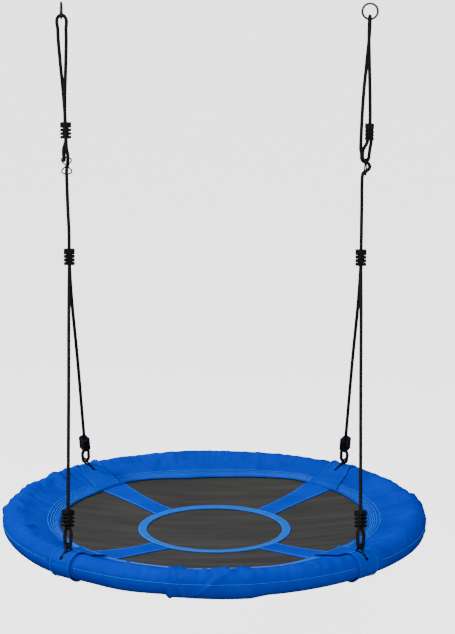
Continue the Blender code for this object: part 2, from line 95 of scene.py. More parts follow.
def add_node(
    tree: bpy.types.NodeTree,
    kind: str,
    inputs: dict[int | str, object] | None = None,
    **settings: object,
) -> bpy.types.Node:
    """Adds one node with its settings, its values and its links.

    Args:
        tree: The node tree to add to.
        kind: The node's type name.
        inputs: For each input, by name or number, a value or the output socket that feeds it.
        **settings: Properties of the node itself.

    Returns:
        The new node.
    """
    node = tree.nodes.new(kind)
    for key, value in settings.items():
        setattr(node, key, value)
    for key, value in (inputs or {}).items():
        if isinstance(value, bpy.types.NodeSocket):
            tree.links.new(value, node.inputs[key])
        else:
            node.inputs[key].default_value = value
    return node


def calc(tree: bpy.types.NodeTree, operation: str, *values: object) -> bpy.types.NodeSocket:
    """Adds one Math node.

    Args:
        tree: The node tree to add to.
        operation: The Math node's operation.
        *values: Its inputs, numbers or sockets, in order.

    Returns:
        The result's socket.
    """
    inputs = dict(enumerate(values))
    return add_node(tree, "ShaderNodeMath", inputs, operation=operation).outputs[0]


class Shading:
    """A new Principled material, with short ways to add to its nodes."""

    def __init__(self, name: str) -> None:
        """Makes the material.

        Args:
            name: Its name.
        """
        self.material = bpy.data.materials.new(name)
        self.material.use_nodes = True
        self.tree = self.material.node_tree
        self.shader = self.tree.nodes["Principled BSDF"]

    def feed(self, label: str, value: object) -> None:
        """Sets or feeds one of the shader's inputs.

        Args:
            label: The input's name.
            value: A value or a socket.
        """
        if isinstance(value, bpy.types.NodeSocket):
            self.tree.links.new(value, self.shader.inputs[label])
        else:
            self.shader.inputs[label].default_value = value

    def calc(self, operation: str, *values: object) -> bpy.types.NodeSocket:
        """Adds one Math node.

        Args:
            operation: The Math node's operation.
            *values: Its inputs, numbers or sockets, in order.

        Returns:
            The result's socket.
        """
        return calc(self.tree, operation, *values)

    def noise(
        self, size: float, stretch: tuple[float, float, float] = (1.0, 1.0, 1.0), detail: float = 3.0
    ) -> bpy.types.NodeSocket:
        """Adds noise on Object coordinates.

        Args:
            size: The size of one blot, in metres.
            stretch: How many times finer the blots are along each axis.
            detail: How many finer layers are mixed in.

        Returns:
            The noise, from 0 to 1.
        """
        place = add_node(self.tree, "ShaderNodeTexCoord").outputs["Object"]
        place = add_node(self.tree, "ShaderNodeMapping", {"Vector": place, "Scale": stretch}).outputs[0]
        inputs = {"Vector": place, "Scale": 1 / size, "Detail": detail}
        return add_node(self.tree, "ShaderNodeTexNoise", inputs).outputs[0]

    def colour(self, factor: bpy.types.NodeSocket, stops: Sequence[tuple[float, str]]) -> None:
        """Colours the surface by a factor.

        Args:
            factor: A number from 0 to 1.
            stops: Places on the colour ramp with their sRGB hex colours.
        """
        node = add_node(self.tree, "ShaderNodeValToRGB", {"Fac": factor})
        elements = node.color_ramp.elements
        while len(elements) < len(stops):
            elements.new(0.5)
        for element, (place, colour) in zip(elements, stops):
            element.position, element.color = place, linear(colour)
        self.feed("Base Color", node.outputs["Color"])

    def relief(self, height: bpy.types.NodeSocket, strength: float, depth: float) -> None:
        """Adds a bump, on top of any bump that the shader already has.

        Args:
            height: The height pattern, from 0 to 1.
            strength: How much of the bump shows.
            depth: The pattern's depth in metres.
        """
        inputs = {"Height": height, "Strength": strength, "Distance": depth}
        before = self.shader.inputs["Normal"].links
        if before:
            inputs["Normal"] = before[0].from_socket
        self.feed("Normal", add_node(self.tree, "ShaderNodeBump", inputs).outputs["Normal"])

    def cloth_axes(self) -> tuple[bpy.types.NodeSocket, bpy.types.NodeSocket]:
        """Reads the piece's own map.

        Returns:
            The two coordinates along the surface.
        """
        uv = add_node(self.tree, "ShaderNodeUVMap", uv_map=UV_NAME).outputs["UV"]
        split = add_node(self.tree, "ShaderNodeSeparateXYZ", {"Vector": uv})
        return split.outputs["X"], split.outputs["Y"]

    def weave(self, pitch: float) -> bpy.types.NodeSocket:
        """Adds a plain weave, threads over and under each other.

        Args:
            pitch: The distance between threads in metres.

        Returns:
            The threads' height, from 0 to 1.
        """
        waves = [self.calc("SINE", self.calc("MULTIPLY", axis, math.pi / pitch))
                 for axis in self.cloth_axes()]
        return self.calc("MULTIPLY_ADD", self.calc("MULTIPLY", *waves), 0.5, 0.5)


@dataclass(frozen=True)
class Finish:
    """A plain finish: one colour, one roughness, and a fine grain that a subclass may replace."""

    name: str
    colour: str
    roughness: float
    metallic: float = 0.0
    specular: float = 0.5

    def material(self) -> bpy.types.Material:
        """Makes the material.

        Returns:
            A Principled material with the finish's own detail.
        """
        look = Shading(self.name)
        look.feed("Base Color", linear(self.colour))
        look.feed("Roughness", self.roughness)
        look.feed("Metallic", self.metallic)
        look.feed("Specular IOR Level", self.specular)
        self.detail(look)
        return look.material

    def detail(self, look: Shading) -> None:
        """Adds the grain, colour variation and relief of the real surface.

        Args:
            look: The material's nodes.
        """
        look.relief(look.noise(3 * MM, detail=4.0), 0.15, 0.1 * MM)


@dataclass(frozen=True)
class DrawnSteel(Finish):
    """Drawn steel wire. Dull grey with die lines, a little darker where it has been handled."""

    worn: str = "55555a"

    def detail(self, look: Shading) -> None:
        """Adds handling marks and die lines.

        Args:
            look: The material's nodes.
        """
        marks = look.noise(9 * MM)
        look.colour(marks, [(0.35, self.colour), (0.7, self.worn)])
        rough = look.calc("MULTIPLY_ADD", marks, 0.25, self.roughness - 0.1)
        look.feed("Roughness", rough)
        look.relief(look.noise(1.2 * MM, detail=2.0), 0.2, 0.05 * MM)


@dataclass(frozen=True)
class BraidedRope(Finish):
    """Braided polypropylene rope. Its flat strands cross and are dusty where they stand proud; the
    grooves get painted shade.
    """

    dusty: str = "4c484a"
    strands: int = 4  # that run each way
    lay: float = 12 * MM  # along the rope for one crossing of each strand

    def detail(self, look: Shading) -> None:
        """Adds the crossing strands, loose fibres, dust, and painted shade in the grooves between
        strands.

        Args:
            look: The material's nodes.
        """
        turns, along = look.cloth_axes()
        around = look.calc("MULTIPLY", turns, math.tau * self.strands)
        forward = look.calc("MULTIPLY", along, math.tau / self.lay)
        one_way = look.calc("SINE", look.calc("ADD", around, forward))
        other_way = look.calc("SINE", look.calc("SUBTRACT", around, forward))
        crossing = look.calc("ABSOLUTE", look.calc("MULTIPLY", one_way, other_way))
        groove_shade_and_dust = look.calc("MULTIPLY", crossing, look.noise(2.5 * MM, detail=5.0))
        # painted shade: near-black in the grooves between strands; where the noise is high, dust
        # lightens the strand tops
        look.colour(groove_shade_and_dust, [(0.0, "060505"), (0.3, self.colour), (0.9, self.dusty)])
        look.relief(crossing, 0.8, 0.7 * MM)
        look.relief(look.noise(0.8 * MM, detail=4.0), 0.4, 0.15 * MM)


@dataclass(frozen=True)
class MouldedPlastic(Finish):
    """Moulded polypropylene. A fine spark-eroded grain and a satin gloss."""

    def detail(self, look: Shading) -> None:
        """Adds the mould grain and a little scuffing.

        Args:
            look: The material's nodes.
        """
        scuffs = look.noise(7 * MM, stretch=(1.0, 1.0, 3.0))
        rough = look.calc("MULTIPLY_ADD", scuffs, 0.3, self.roughness - 0.12)
        look.feed("Roughness", rough)
        look.colour(scuffs, [(0.4, self.colour), (0.8, "1a181d")])
        look.relief(look.noise(0.9 * MM, detail=2.0), 0.25, 0.08 * MM)


@dataclass(frozen=True)
class CoatedCloth(Finish):
    """Polyester cloth, coated on the inside. A fine even weave, soft creases and no gloss."""

    deep: str = "0030a8"
    bright: str = "004ade"
    thread_pitch: float = 1.6 * MM  # the real 0.5 mm is too fine to show
    crease_size: float = 16 * MM

    def detail(self, look: Shading) -> None:
        """Adds the weave, uneven dye and soft creases.

        Args:
            look: The material's nodes.
        """
        threads = look.weave(self.thread_pitch)
        dye = look.noise(70 * MM, detail=5.0)
        tone = look.calc("MULTIPLY_ADD", threads, 0.3, look.calc("MULTIPLY", dye, 0.7))
        stops = [(0.15, self.deep), (0.52, self.colour), (0.95, self.bright)]
        look.colour(tone, stops)
        rough = look.calc("MULTIPLY_ADD", dye, 0.15, self.roughness - 0.07)
        look.feed("Roughness", rough)
        look.relief(threads, 0.3, 0.25 * MM)
        look.relief(look.noise(self.crease_size, detail=2.0), 0.35, 2.0 * MM)


@dataclass(frozen=True)
class WovenMat(Finish):
    """Woven polyethylene tape, as on a trampoline. Dark, open and slightly shiny along the tapes."""

    light: str = "4c4b49"
    tape_pitch: float = 2.6 * MM  # the real 1 mm is too fine to show

    def detail(self, look: Shading) -> None:
        """Adds the tapes and the faint streaks of uneven tension.

        Args:
            look: The material's nodes.
        """
        tapes = look.weave(self.tape_pitch)
        streaks = look.noise(60 * MM, stretch=(0.25, 2.0, 1.0), detail=4.0)
        tone = look.calc("MULTIPLY_ADD", tapes, 0.3, look.calc("MULTIPLY", streaks, 0.7))
        stops = [(0.25, "2a2a29"), (0.5, self.colour), (0.8, self.light)]
        look.colour(tone, stops)
        look.relief(tapes, 0.5, 0.4 * MM)
        look.relief(streaks, 0.15, 1.5 * MM)


@dataclass(frozen=True)
class Webbing(Finish):
    """Polyester webbing. Close ribs across it and a soft shine along its middle."""

    light: str = "086ee8"
    rib_pitch: float = 2.4 * MM

    def detail(self, look: Shading) -> None:
        """Adds the ribs and uneven dye.

        Args:
            look: The material's nodes.
        """
        along, _ = look.cloth_axes()
        ribs = look.calc("SINE", look.calc("MULTIPLY", along, math.tau / self.rib_pitch))
        ribs = look.calc("MULTIPLY_ADD", ribs, 0.5, 0.5)
        dye = look.calc("MULTIPLY", look.noise(20 * MM, detail=4.0), 0.75)
        tone = look.calc("MULTIPLY_ADD", ribs, 0.25, dye)
        look.colour(tone, [(0.3, self.colour), (0.75, self.light)])
        look.relief(ribs, 0.4, 0.3 * MM)


class Finishes:
    """Every material of the swing, made once."""

    def __init__(self) -> None:
        """Builds the materials."""
        self.ring_steel = DrawnSteel("ring_steel_zinc_plated", "3c3c40", 0.36, 1.0).material()
        self.wire_steel = DrawnSteel(
            "wire_steel_black_oxide", "131315", 0.34, 1.0, worn="2c2c30"
        ).material()
        self.rope = BraidedRope(
            "rope_braided_polypropylene", "1c1a1b", 0.85, specular=0.12
        ).material()
        self.plastic = MouldedPlastic(
            "clamp_moulded_polypropylene", "0c0b0d", 0.5, specular=0.1
        ).material()
        self.cover = CoatedCloth("cover_coated_polyester", "003abe", 0.75, specular=0.0).material()
        self.strap = CoatedCloth(
            "strap_coated_polyester", "0040c2", 0.7, specular=0.0, deep="0036ac", bright="004cda"
        ).material()
        self.tape = Webbing("ring_tape_polyester", "005cd8", 0.6, specular=0.02).material()
        # the binding's lighter blue is partly its own tone and partly a painted highlight along the hem
        self.binding = CoatedCloth(
            "hem_binding_polyester_painted_highlight", "0046c8", 0.6, specular=0.0, deep="003cb8", bright="0054dc"
        ).material()
        self.thread = Finish("stitching_thread_polyester", "4490ee", 0.7, specular=0.1).material()
        self.band_thread = Finish("band_thread_polyester", "1e6ad8", 0.7, specular=0.1).material()
        self.mat = WovenMat("mat_woven_polyethylene", "3a3937", 0.65, specular=0.12).material()
        self.tube = DrawnSteel("hoop_tube_galvanised", "7d8084", 0.42, 1.0, worn="9a9da1").material()
        self.foam = Finish("foam_polyethylene", "d6d6d0", 0.9).material()


# Meshes


def mesh_piece(
    name: str,
    verts: np.ndarray,
    faces: Sequence[Sequence[int]],
    uv: np.ndarray,
    material: bpy.types.Material,
) -> bpy.types.Object:
    """Makes a smooth mesh object at the origin.

    Args:
        name: The piece's name.
        verts: The points, in metres.
        faces: The faces, as numbers of points.
        uv: One pair for each corner of each face, in the faces' order.
        material: Its material.

    Returns:
        The new object.
    """
    mesh = bpy.data.meshes.new(name)
    mesh.from_pydata([tuple(v) for v in verts], [], [tuple(f) for f in faces])
    layer = mesh.uv_layers.new(name=UV_NAME)
    layer.data.foreach_set("uv", np.asarray(uv, np.float32).ravel())
    mesh.materials.append(material)
    mesh.shade_smooth()
    obj = bpy.data.objects.new(name, mesh)
    bpy.context.scene.collection.objects.link(obj)
    return obj


def grid_piece(
    name: str,
    points: np.ndarray,
    uv: np.ndarray,
    material: bpy.types.Material,
    wall: float = 0.0,
    wrap: bool = False,
    cap: bool = False,
    hole: np.ndarray | None = None,
) -> bpy.types.Object:
    """Makes a sheet from a grid of points, with a wall on its inner side.

    Args:
        name: The piece's name.
        points: The grid, rows by columns by 3.
        uv: The grid's map, rows by columns by 2. A wrapped grid has one column more.
        material: Its material.
        wall: The sheet's thickness.
        wrap: Whether the last column joins the first.
        cap: Whether the first row is closed with one face.
        hole: True for each cell that is left open.

    Returns:
        The new object.
    """
    rows, cols = points.shape[:2]
    across = cols if wrap else cols - 1
    faces, corners = [], []
    for i in range(rows - 1):
        for j in range(across):
            if hole is not None and hole[i, j]:
                continue
            k = (j + 1) % cols
            faces.append((i * cols + j, (i + 1) * cols + j, (i + 1) * cols + k, i * cols + k))
            corners += [uv[i, j], uv[i + 1, j], uv[i + 1, j + 1], uv[i, j + 1]]
    if cap:
        faces.append(tuple(range(cols)))
        corners += list(uv[0, :cols])
    obj = mesh_piece(name, points.reshape(-1, 3), faces, np.array(corners), material)
    if wall:
        solidify = obj.modifiers.new("wall", "SOLIDIFY")
        solidify.thickness = wall
        solidify.offset = -1.0
    return obj


def hermite(marks: np.ndarray, knots: np.ndarray, where: np.ndarray) -> np.ndarray:
    """Reads a smooth curve through knots.

    Args:
        marks: The knots' places, rising.
        knots: The knots' values, one row for each mark.
        where: The places to read.

    Returns:
        The values there.
    """
    slopes = np.gradient(knots, marks, axis=0)
    i = np.clip(np.searchsorted(marks, where, side="right") - 1, 0, len(marks) - 2)
    span = marks[i + 1] - marks[i]
    t = (where - marks[i]) / span
    start, start_slope, end, end_slope = (
        np.take_along_axis(rows, k[None], axis=0)[0]
        for k in (i, i + 1) for rows in (knots, slopes)
    )
    return (
        start * (2 * t**3 - 3 * t**2 + 1) + start_slope * span * (t**3 - 2 * t**2 + t)
        + end * (3 * t**2 - 2 * t**3) + end_slope * span * (t**3 - t**2)
    )


def directions(count: int) -> np.ndarray:
    """Lists evenly spaced directions round a circle.

    Args:
        count: How many.

    Returns:
        The directions in radians, from 0.
    """
    return math.tau * np.arange(count) / count


def ring_map(radius: float, columns: int, along: np.ndarray) -> np.ndarray:
    """Maps a sheet that runs all the way round a circle.

    Args:
        radius: The circle's radius.
        columns: How many columns the sheet has.
        along: The place of each row across the sheet.

    Returns:
        The map in metres, rows by columns + 1 by 2.
    """
    around = math.tau * radius * np.arange(columns + 1) / columns
    return np.stack(np.broadcast_arrays(around[None, :], along[:, None]), axis=-1)


def polar(radius: np.ndarray, angle: np.ndarray, height: np.ndarray) -> np.ndarray:
    """Turns polar places into points.

    Args:
        radius: Their distances from the upright axis.
        angle: Their directions.
        height: Their heights.

    Returns:
        The points.
    """
    return np.stack([radius * np.cos(angle), radius * np.sin(angle), height], axis=-1)


def turn_between(angle: np.ndarray, other: np.ndarray | float) -> np.ndarray:
    """Measures the shortest turn from one direction to another.

    Args:
        angle: The direction at the end.
        other: The direction at the start.

    Returns:
        The turn in radians, from minus half a turn to half a turn.
    """
    return (angle - other + math.pi) % math.tau - math.pi


def ramp(distance: np.ndarray, length: float) -> np.ndarray:
    """Rises evenly from 0 to 1.

    Args:
        distance: The distance from the foot of the rise.
        length: How long the rise is.

    Returns:
        The height, which stays 0 before the rise and 1 after it.
    """
    return np.clip(distance / length, 0, 1)


def bump(offset: np.ndarray) -> np.ndarray:
    """Makes a smooth bump of height 1.

    Args:
        offset: The distance from its middle, in widths.

    Returns:
        The height.
    """
    return np.exp(-(offset**2))


def smooth_route(points: Sequence[Sequence[float]], spacing: float) -> np.ndarray:
    """Samples a smooth curve through a route's own points.

    Args:
        points: The route's points.
        spacing: The distance between samples.

    Returns:
        The samples.
    """
    knots = np.array([np.array(p, float) for p in points])
    marks = np.concatenate([[0.0], np.cumsum(np.linalg.norm(np.diff(knots, axis=0), axis=1))])
    where = [marks[:1]]
    for start, end in zip(marks, marks[1:]):
        count = max(1, round((end - start) / spacing))
        where.append(start + (end - start) * np.arange(1, count + 1) / count)
    where = np.concatenate(where)
    return np.stack([hermite(marks, axis[:, None] + 0 * where, where) for axis in knots.T], axis=-1)


def tube_piece(
    name: str,
    route: np.ndarray,
    radius: float,
    sides: int,
    material: bpy.types.Material,
    closed: bool = False,
) -> bpy.types.Object:
    """Makes a round rope or wire along a route.

    Args:
        name: The piece's name.
        route: The points of its centre line.
        radius: Its radius.
        sides: How many sides it has.
        material: Its material.
        closed: Whether the route joins up with its own start.

    Returns:
        The new object. Its map is in turns around and metres along.
    """
    count = len(route)
    ahead = np.roll(route, -1, axis=0) - route
    if closed:
        tangents = ahead + np.roll(ahead, 1, axis=0)
    else:
        tangents = np.gradient(route, axis=0)
    tangents /= np.linalg.norm(tangents, axis=1)[:, None]
    normal = np.cross(tangents[0], (0.3, 0.9, 0.1))
    normals = []
    for tangent in tangents:
        normal = normal - tangent * float(normal @ tangent)
        normal /= np.linalg.norm(normal)
        normals.append(normal)
    normals = np.array(normals)
    steps = np.linalg.norm(ahead, axis=1)
    along = np.concatenate([[0.0], np.cumsum(steps)])
    binormals = np.cross(tangents, normals)
    if closed:
        last = normals[-1] - tangents[0] * float(normals[-1] @ tangents[0])
        twist = math.atan2(float(last @ binormals[0]), float(last @ normals[0]))
        turn = (-twist * np.arange(count) / count)[:, None]
        normals, binormals = (
            normals * np.cos(turn) + binormals * np.sin(turn),
            binormals * np.cos(turn) - normals * np.sin(turn),
        )
    angle = directions(sides)
    cosine, sine = np.cos(angle)[None, :, None], np.sin(angle)[None, :, None]
    ring = normals[:, None] * cosine + binormals[:, None] * sine
    verts = (route[:, None] + radius * ring).reshape(-1, 3)
    faces, uv = [], []
    for i in range(count if closed else count - 1):
        k = (i + 1) % count
        for j in range(sides):
            m = (j + 1) % sides
            faces.append((i * sides + j, i * sides + m, k * sides + m, k * sides + j))
            a, b, c, d = j / sides, (j + 1) / sides, along[i], along[i + 1]
            uv += [(a, c), (b, c), (b, d), (a, d)]
    if not closed:
        first = (count - 1) * sides
        faces += [tuple(reversed(range(sides))), tuple(range(first, first + sides))]
        uv += [(0.5, along[0])] * sides + [(0.5, along[count - 1])] * sides
    return mesh_piece(name, verts, faces, np.array(uv), material)


# Geometry node trees


class NodeShape:
    """A Geometry Nodes tree with named inputs, ended by Realize Instances and Set Material."""

    def __init__(self, name: str, inputs: dict[str, float | int]) -> None:
        """Makes the empty tree.

        Args:
            name: The tree's name.
            inputs: Each input's name with its value.
        """
        self.tree = bpy.data.node_groups.new(name, "GeometryNodeTree")
        interface = self.tree.interface
        interface.new_socket("Geometry", in_out="INPUT", socket_type="NodeSocketGeometry")
        self.values: dict[str, float | int] = {}
        for label, value in inputs.items():
            kind = "NodeSocketInt" if isinstance(value, int) else "NodeSocketFloat"
            socket = interface.new_socket(label, in_out="INPUT", socket_type=kind)
            self.values[socket.identifier] = value
        self.material_id = interface.new_socket(
            "Material", in_out="INPUT", socket_type="NodeSocketMaterial"
        ).identifier
        interface.new_socket("Geometry", in_out="OUTPUT", socket_type="NodeSocketGeometry")
        self.input = add_node(self.tree, "NodeGroupInput").outputs

    def add(
        self, kind: str, inputs: dict[int | str, object] | None = None, **settings: object
    ) -> bpy.types.Node:
        """Adds one geometry node.

        Args:
            kind: The node's type name, without its start.
            inputs: For each input, by name or number, a value or the socket that feeds it.
            **settings: Properties of the node itself.

        Returns:
            The new node.
        """
        return add_node(self.tree, f"GeometryNode{kind}", inputs, **settings)

    def maths(self, operation: str, *values: object) -> bpy.types.NodeSocket:
        """Adds one Math node.

        Args:
            operation: The node's operation.
            *values: Its inputs, numbers or sockets, in order.

        Returns:
            The result's socket.
        """
        return calc(self.tree, operation, *values)

    def vector(self, x: object = 0.0, y: object = 0.0, z: object = 0.0) -> bpy.types.NodeSocket:
        """Joins three numbers or sockets into a vector.

        Args:
            x: The first.
            y: The second.
            z: The third.

        Returns:
            The vector's socket.
        """
        return add_node(self.tree, "ShaderNodeCombineXYZ", {0: x, 1: y, 2: z}).outputs[0]

    def end_with(self, geometry: bpy.types.NodeSocket) -> None:
        """Ends the tree.

        Args:
            geometry: The finished shape, instances and all.
        """
        whole = self.add("RealizeInstances", {"Geometry": geometry}).outputs[0]
        dressed = self.add("SetMaterial", {"Geometry": whole, "Material": self.input["Material"]})
        add_node(self.tree, "NodeGroupOutput", {0: dressed.outputs[0]})

    def make(
        self, name: str, source: bpy.types.ID, material: bpy.types.Material, bevel: float = 0.0
    ) -> bpy.types.Object:
        """Runs the tree and keeps its result as a plain mesh.

        Args:
            name: The piece's name.
            source: The curve or mesh data that the tree starts from.
            material: The material it sets.
            bevel: The width of the rounding on sharp edges, or 0.

        Returns:
            The new object, with no modifier.
        """
        holder = bpy.data.objects.new(f"{name}_source", source)
        bpy.context.scene.collection.objects.link(holder)
        modifier = holder.modifiers.new("shape", "NODES")
        modifier.node_group = self.tree
        for identifier, value in self.values.items():
            modifier[identifier] = value
        modifier[self.material_id] = material
        if bevel:
            rounding = holder.modifiers.new("rounding", "BEVEL")
            rounding.width, rounding.segments = bevel, 2
            rounding.limit_method, rounding.angle_limit = "ANGLE", math.radians(40)
        graph = bpy.context.evaluated_depsgraph_get()
        mesh = bpy.data.meshes.new_from_object(holder.evaluated_get(graph), depsgraph=graph)
        bpy.data.objects.remove(holder, do_unlink=True)
        mesh.name = name
        obj = bpy.data.objects.new(name, mesh)
        bpy.context.scene.collection.objects.link(obj)
        return obj


class RibbedClamp(NodeShape):
    """A rope clamp: thin ribs with rounded corners round a core, and a taller block at its top."""

    def __init__(self) -> None:
        """Builds the tree."""
        super().__init__("ribbed_clamp", {
            "Rib Count": 3, "Rib Pitch": 8.4 * MM, "Rib Height": 4.4 * MM, "Height": 36 * MM,
            "Width": 20 * MM, "Depth": 25 * MM, "Core Width": 17.6 * MM, "Core Depth": 14 * MM,
            "Corner": 3.6 * MM,
        })
        pins = self.input
        rib = self.prism(pins["Width"], pins["Depth"], pins["Rib Height"], 0.0)
        line = self.add("MeshLine", {
            "Count": pins["Rib Count"], "Offset": self.vector(z=pins["Rib Pitch"]),
        }, mode="OFFSET", count_mode="TOTAL")
        ribs = self.add("InstanceOnPoints", {"Points": line.outputs[0], "Instance": rib})
        block_foot = self.maths("MULTIPLY", pins["Rib Count"], pins["Rib Pitch"])
        block_height = self.maths("SUBTRACT", pins["Height"], block_foot)
        block = self.prism(pins["Width"], pins["Depth"], block_height, block_foot)
        inset = 0.4 * MM
        core_height = self.maths("SUBTRACT", pins["Height"], 2 * inset)
        core = self.prism(pins["Core Width"], pins["Core Depth"], core_height, inset)
        joined = self.add("JoinGeometry")
        for part in (ribs.outputs[0], block, core):
            self.tree.links.new(part, joined.inputs[0])
        self.end_with(joined.outputs[0])

    def prism(self, width: object, depth: object, height: object, foot: object) -> bpy.types.NodeSocket:
        """Adds a closed upright prism with rounded corners.

        Args:
            width: Its size along X.
            depth: Its size along Y.
            height: Its height.
            foot: The height of its lower face.

        Returns:
            The prism's geometry.
        """
        outline = self.add("CurvePrimitiveQuadrilateral", {"Width": width, "Height": depth})
        rounded = self.add("FilletCurve", {
            "Curve": outline.outputs[0], "Radius": self.input["Corner"], "Count": 4,
            "Limit Radius": True,
        }, mode="POLY")
        face = self.add("FillCurve", {"Curve": rounded.outputs[0]}, mode="NGONS").outputs[0]
        raised = self.add("ExtrudeMesh", {
            "Mesh": face, "Offset": self.vector(z=1.0), "Offset Scale": height, "Individual": False,
        }, mode="FACES").outputs[0]
        lower = self.add("FlipFaces", {"Mesh": face}).outputs[0]
        joined = self.add("JoinGeometry")
        for part in (raised, lower):
            self.tree.links.new(part, joined.inputs[0])
        welded = self.add("MergeByDistance", {"Geometry": joined.outputs[0], "Distance": 0.01 * MM})
        return self.add("Transform", {
            "Geometry": welded.outputs[0], "Translation": self.vector(z=foot),
        }).outputs[0]


class StitchLine(NodeShape):
    """Rows of stitches: one short rounded thread at each pitch along the lines."""

    def __init__(self) -> None:
        """Builds the tree."""
        super().__init__("stitch_line", {
            "Pitch": 4.6 * MM, "Length": 3.6 * MM, "Thread Radius": 0.75 * MM,
            "Unevenness": 0.12, "Seed": 7,
        })
        pins = self.input
        spots = self.add("CurveToPoints", {
            "Curve": pins["Geometry"], "Length": pins["Pitch"],
        }, mode="LENGTH")
        thread = self.add("MeshUVSphere", {"Segments": 6, "Rings": 5, "Radius": 1.0})
        low = self.maths("SUBTRACT", 1.0, pins["Unevenness"])
        size = add_node(self.tree, "FunctionNodeRandomValue", {
            2: low, 3: 1.0, "Seed": pins["Seed"],
        }, data_type="FLOAT").outputs[1]
        half = self.maths("MULTIPLY", self.maths("MULTIPLY", pins["Length"], 0.5), size)
        scale = self.vector(pins["Thread Radius"], pins["Thread Radius"], half)
        rows = self.add("InstanceOnPoints", {
            "Points": spots.outputs["Points"], "Instance": thread.outputs[0],
            "Rotation": spots.outputs["Rotation"], "Scale": scale,
        })
        self.end_with(rows.outputs[0])

    def sew(
        self, name: str, lines: Sequence[np.ndarray], material: bpy.types.Material
    ) -> bpy.types.Object:
        """Sews along lines.

        Args:
            name: The piece's name.
            lines: The lines, each as points on the cloth.
            material: The thread's material.

        Returns:
            The stitches as one mesh.
        """
        curve = bpy.data.curves.new(name, "CURVE")
        curve.dimensions = "3D"
        for line in lines:
            spline = curve.splines.new("POLY")
            spline.points.add(len(line) - 1)
            with_weights = np.column_stack([line, np.ones(len(line))])
            spline.points.foreach_set("co", with_weights.astype(np.float32).ravel())
        obj = self.make(name, curve, material)
        obj.data.shade_smooth()
        return obj


# Sub-assemblies


@dataclass(kw_only=True)
class Roping:
    """The sizes and steps that every rope and clamp shares."""

    finishes: Finishes
    pattern: bpy.types.Object  # the clamp that every clamp copies
    rope_radius: float = 0.004
    rope_sides: int = 16
    strand_offset: float = 0.0043  # from a clamp's middle to each of its two strands
    clamp_height: float = 0.036
    y_clamp_half_span: float = 0.3365
    y_clamp_drop: float = 0.565
    gap: float = 0.0003
    lead: float = 0.0030  # the straight stretch where a rope leaves a clamp

    @property
    def y_clamp_foot(self) -> float:
        """The height of the Y clamps' lower faces.

        Returns:
            The height in metres.
        """
        return -self.y_clamp_drop - self.clamp_height / 2

    def clamp(self, node: str, matrix: Matrix) -> bpy.types.Object:
        """Makes one clamp, with its place in its mesh.

        Args:
            node: The node that it stands for.
            matrix: Where it goes.

        Returns:
            The placed clamp.
        """
        piece = bpy.data.objects.new(f"ribbed_{node}", self.pattern.data.copy())
        bpy.context.scene.collection.objects.link(piece)
        piece.data.transform(matrix)
        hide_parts(node)
        LOG.info("clamp %s", node)
        return piece

    def braid(
        self, name: str, node: str, route: Sequence[Sequence[float]], spacing: float
    ) -> tuple[bpy.types.Object, np.ndarray]:
        """Makes one rope.

        Args:
            name: The rope's name, without its start.
            node: The node that it stands for.
            route: The points of its centre line.
            spacing: The distance between its rings of points.

        Returns:
            The rope and the smooth centre line.
        """
        path = smooth_route(route, spacing)
        rope = tube_piece(f"braided_{name}", path, self.rope_radius, self.rope_sides, self.finishes.rope)
        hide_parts(node)
        return rope, path

    def declare(self, rope: bpy.types.Object, path: np.ndarray, on_it: list[bpy.types.Object]) -> None:
        """Logs a rope's name and its length.

        Args:
            rope: The rope.
            path: Its centre line.
            on_it: Not used.
        """
        length = float(np.linalg.norm(np.diff(path, axis=0), axis=1).sum())
        tuple(path[0])
        LOG.info("%s, %.3f m", rope.name, length)


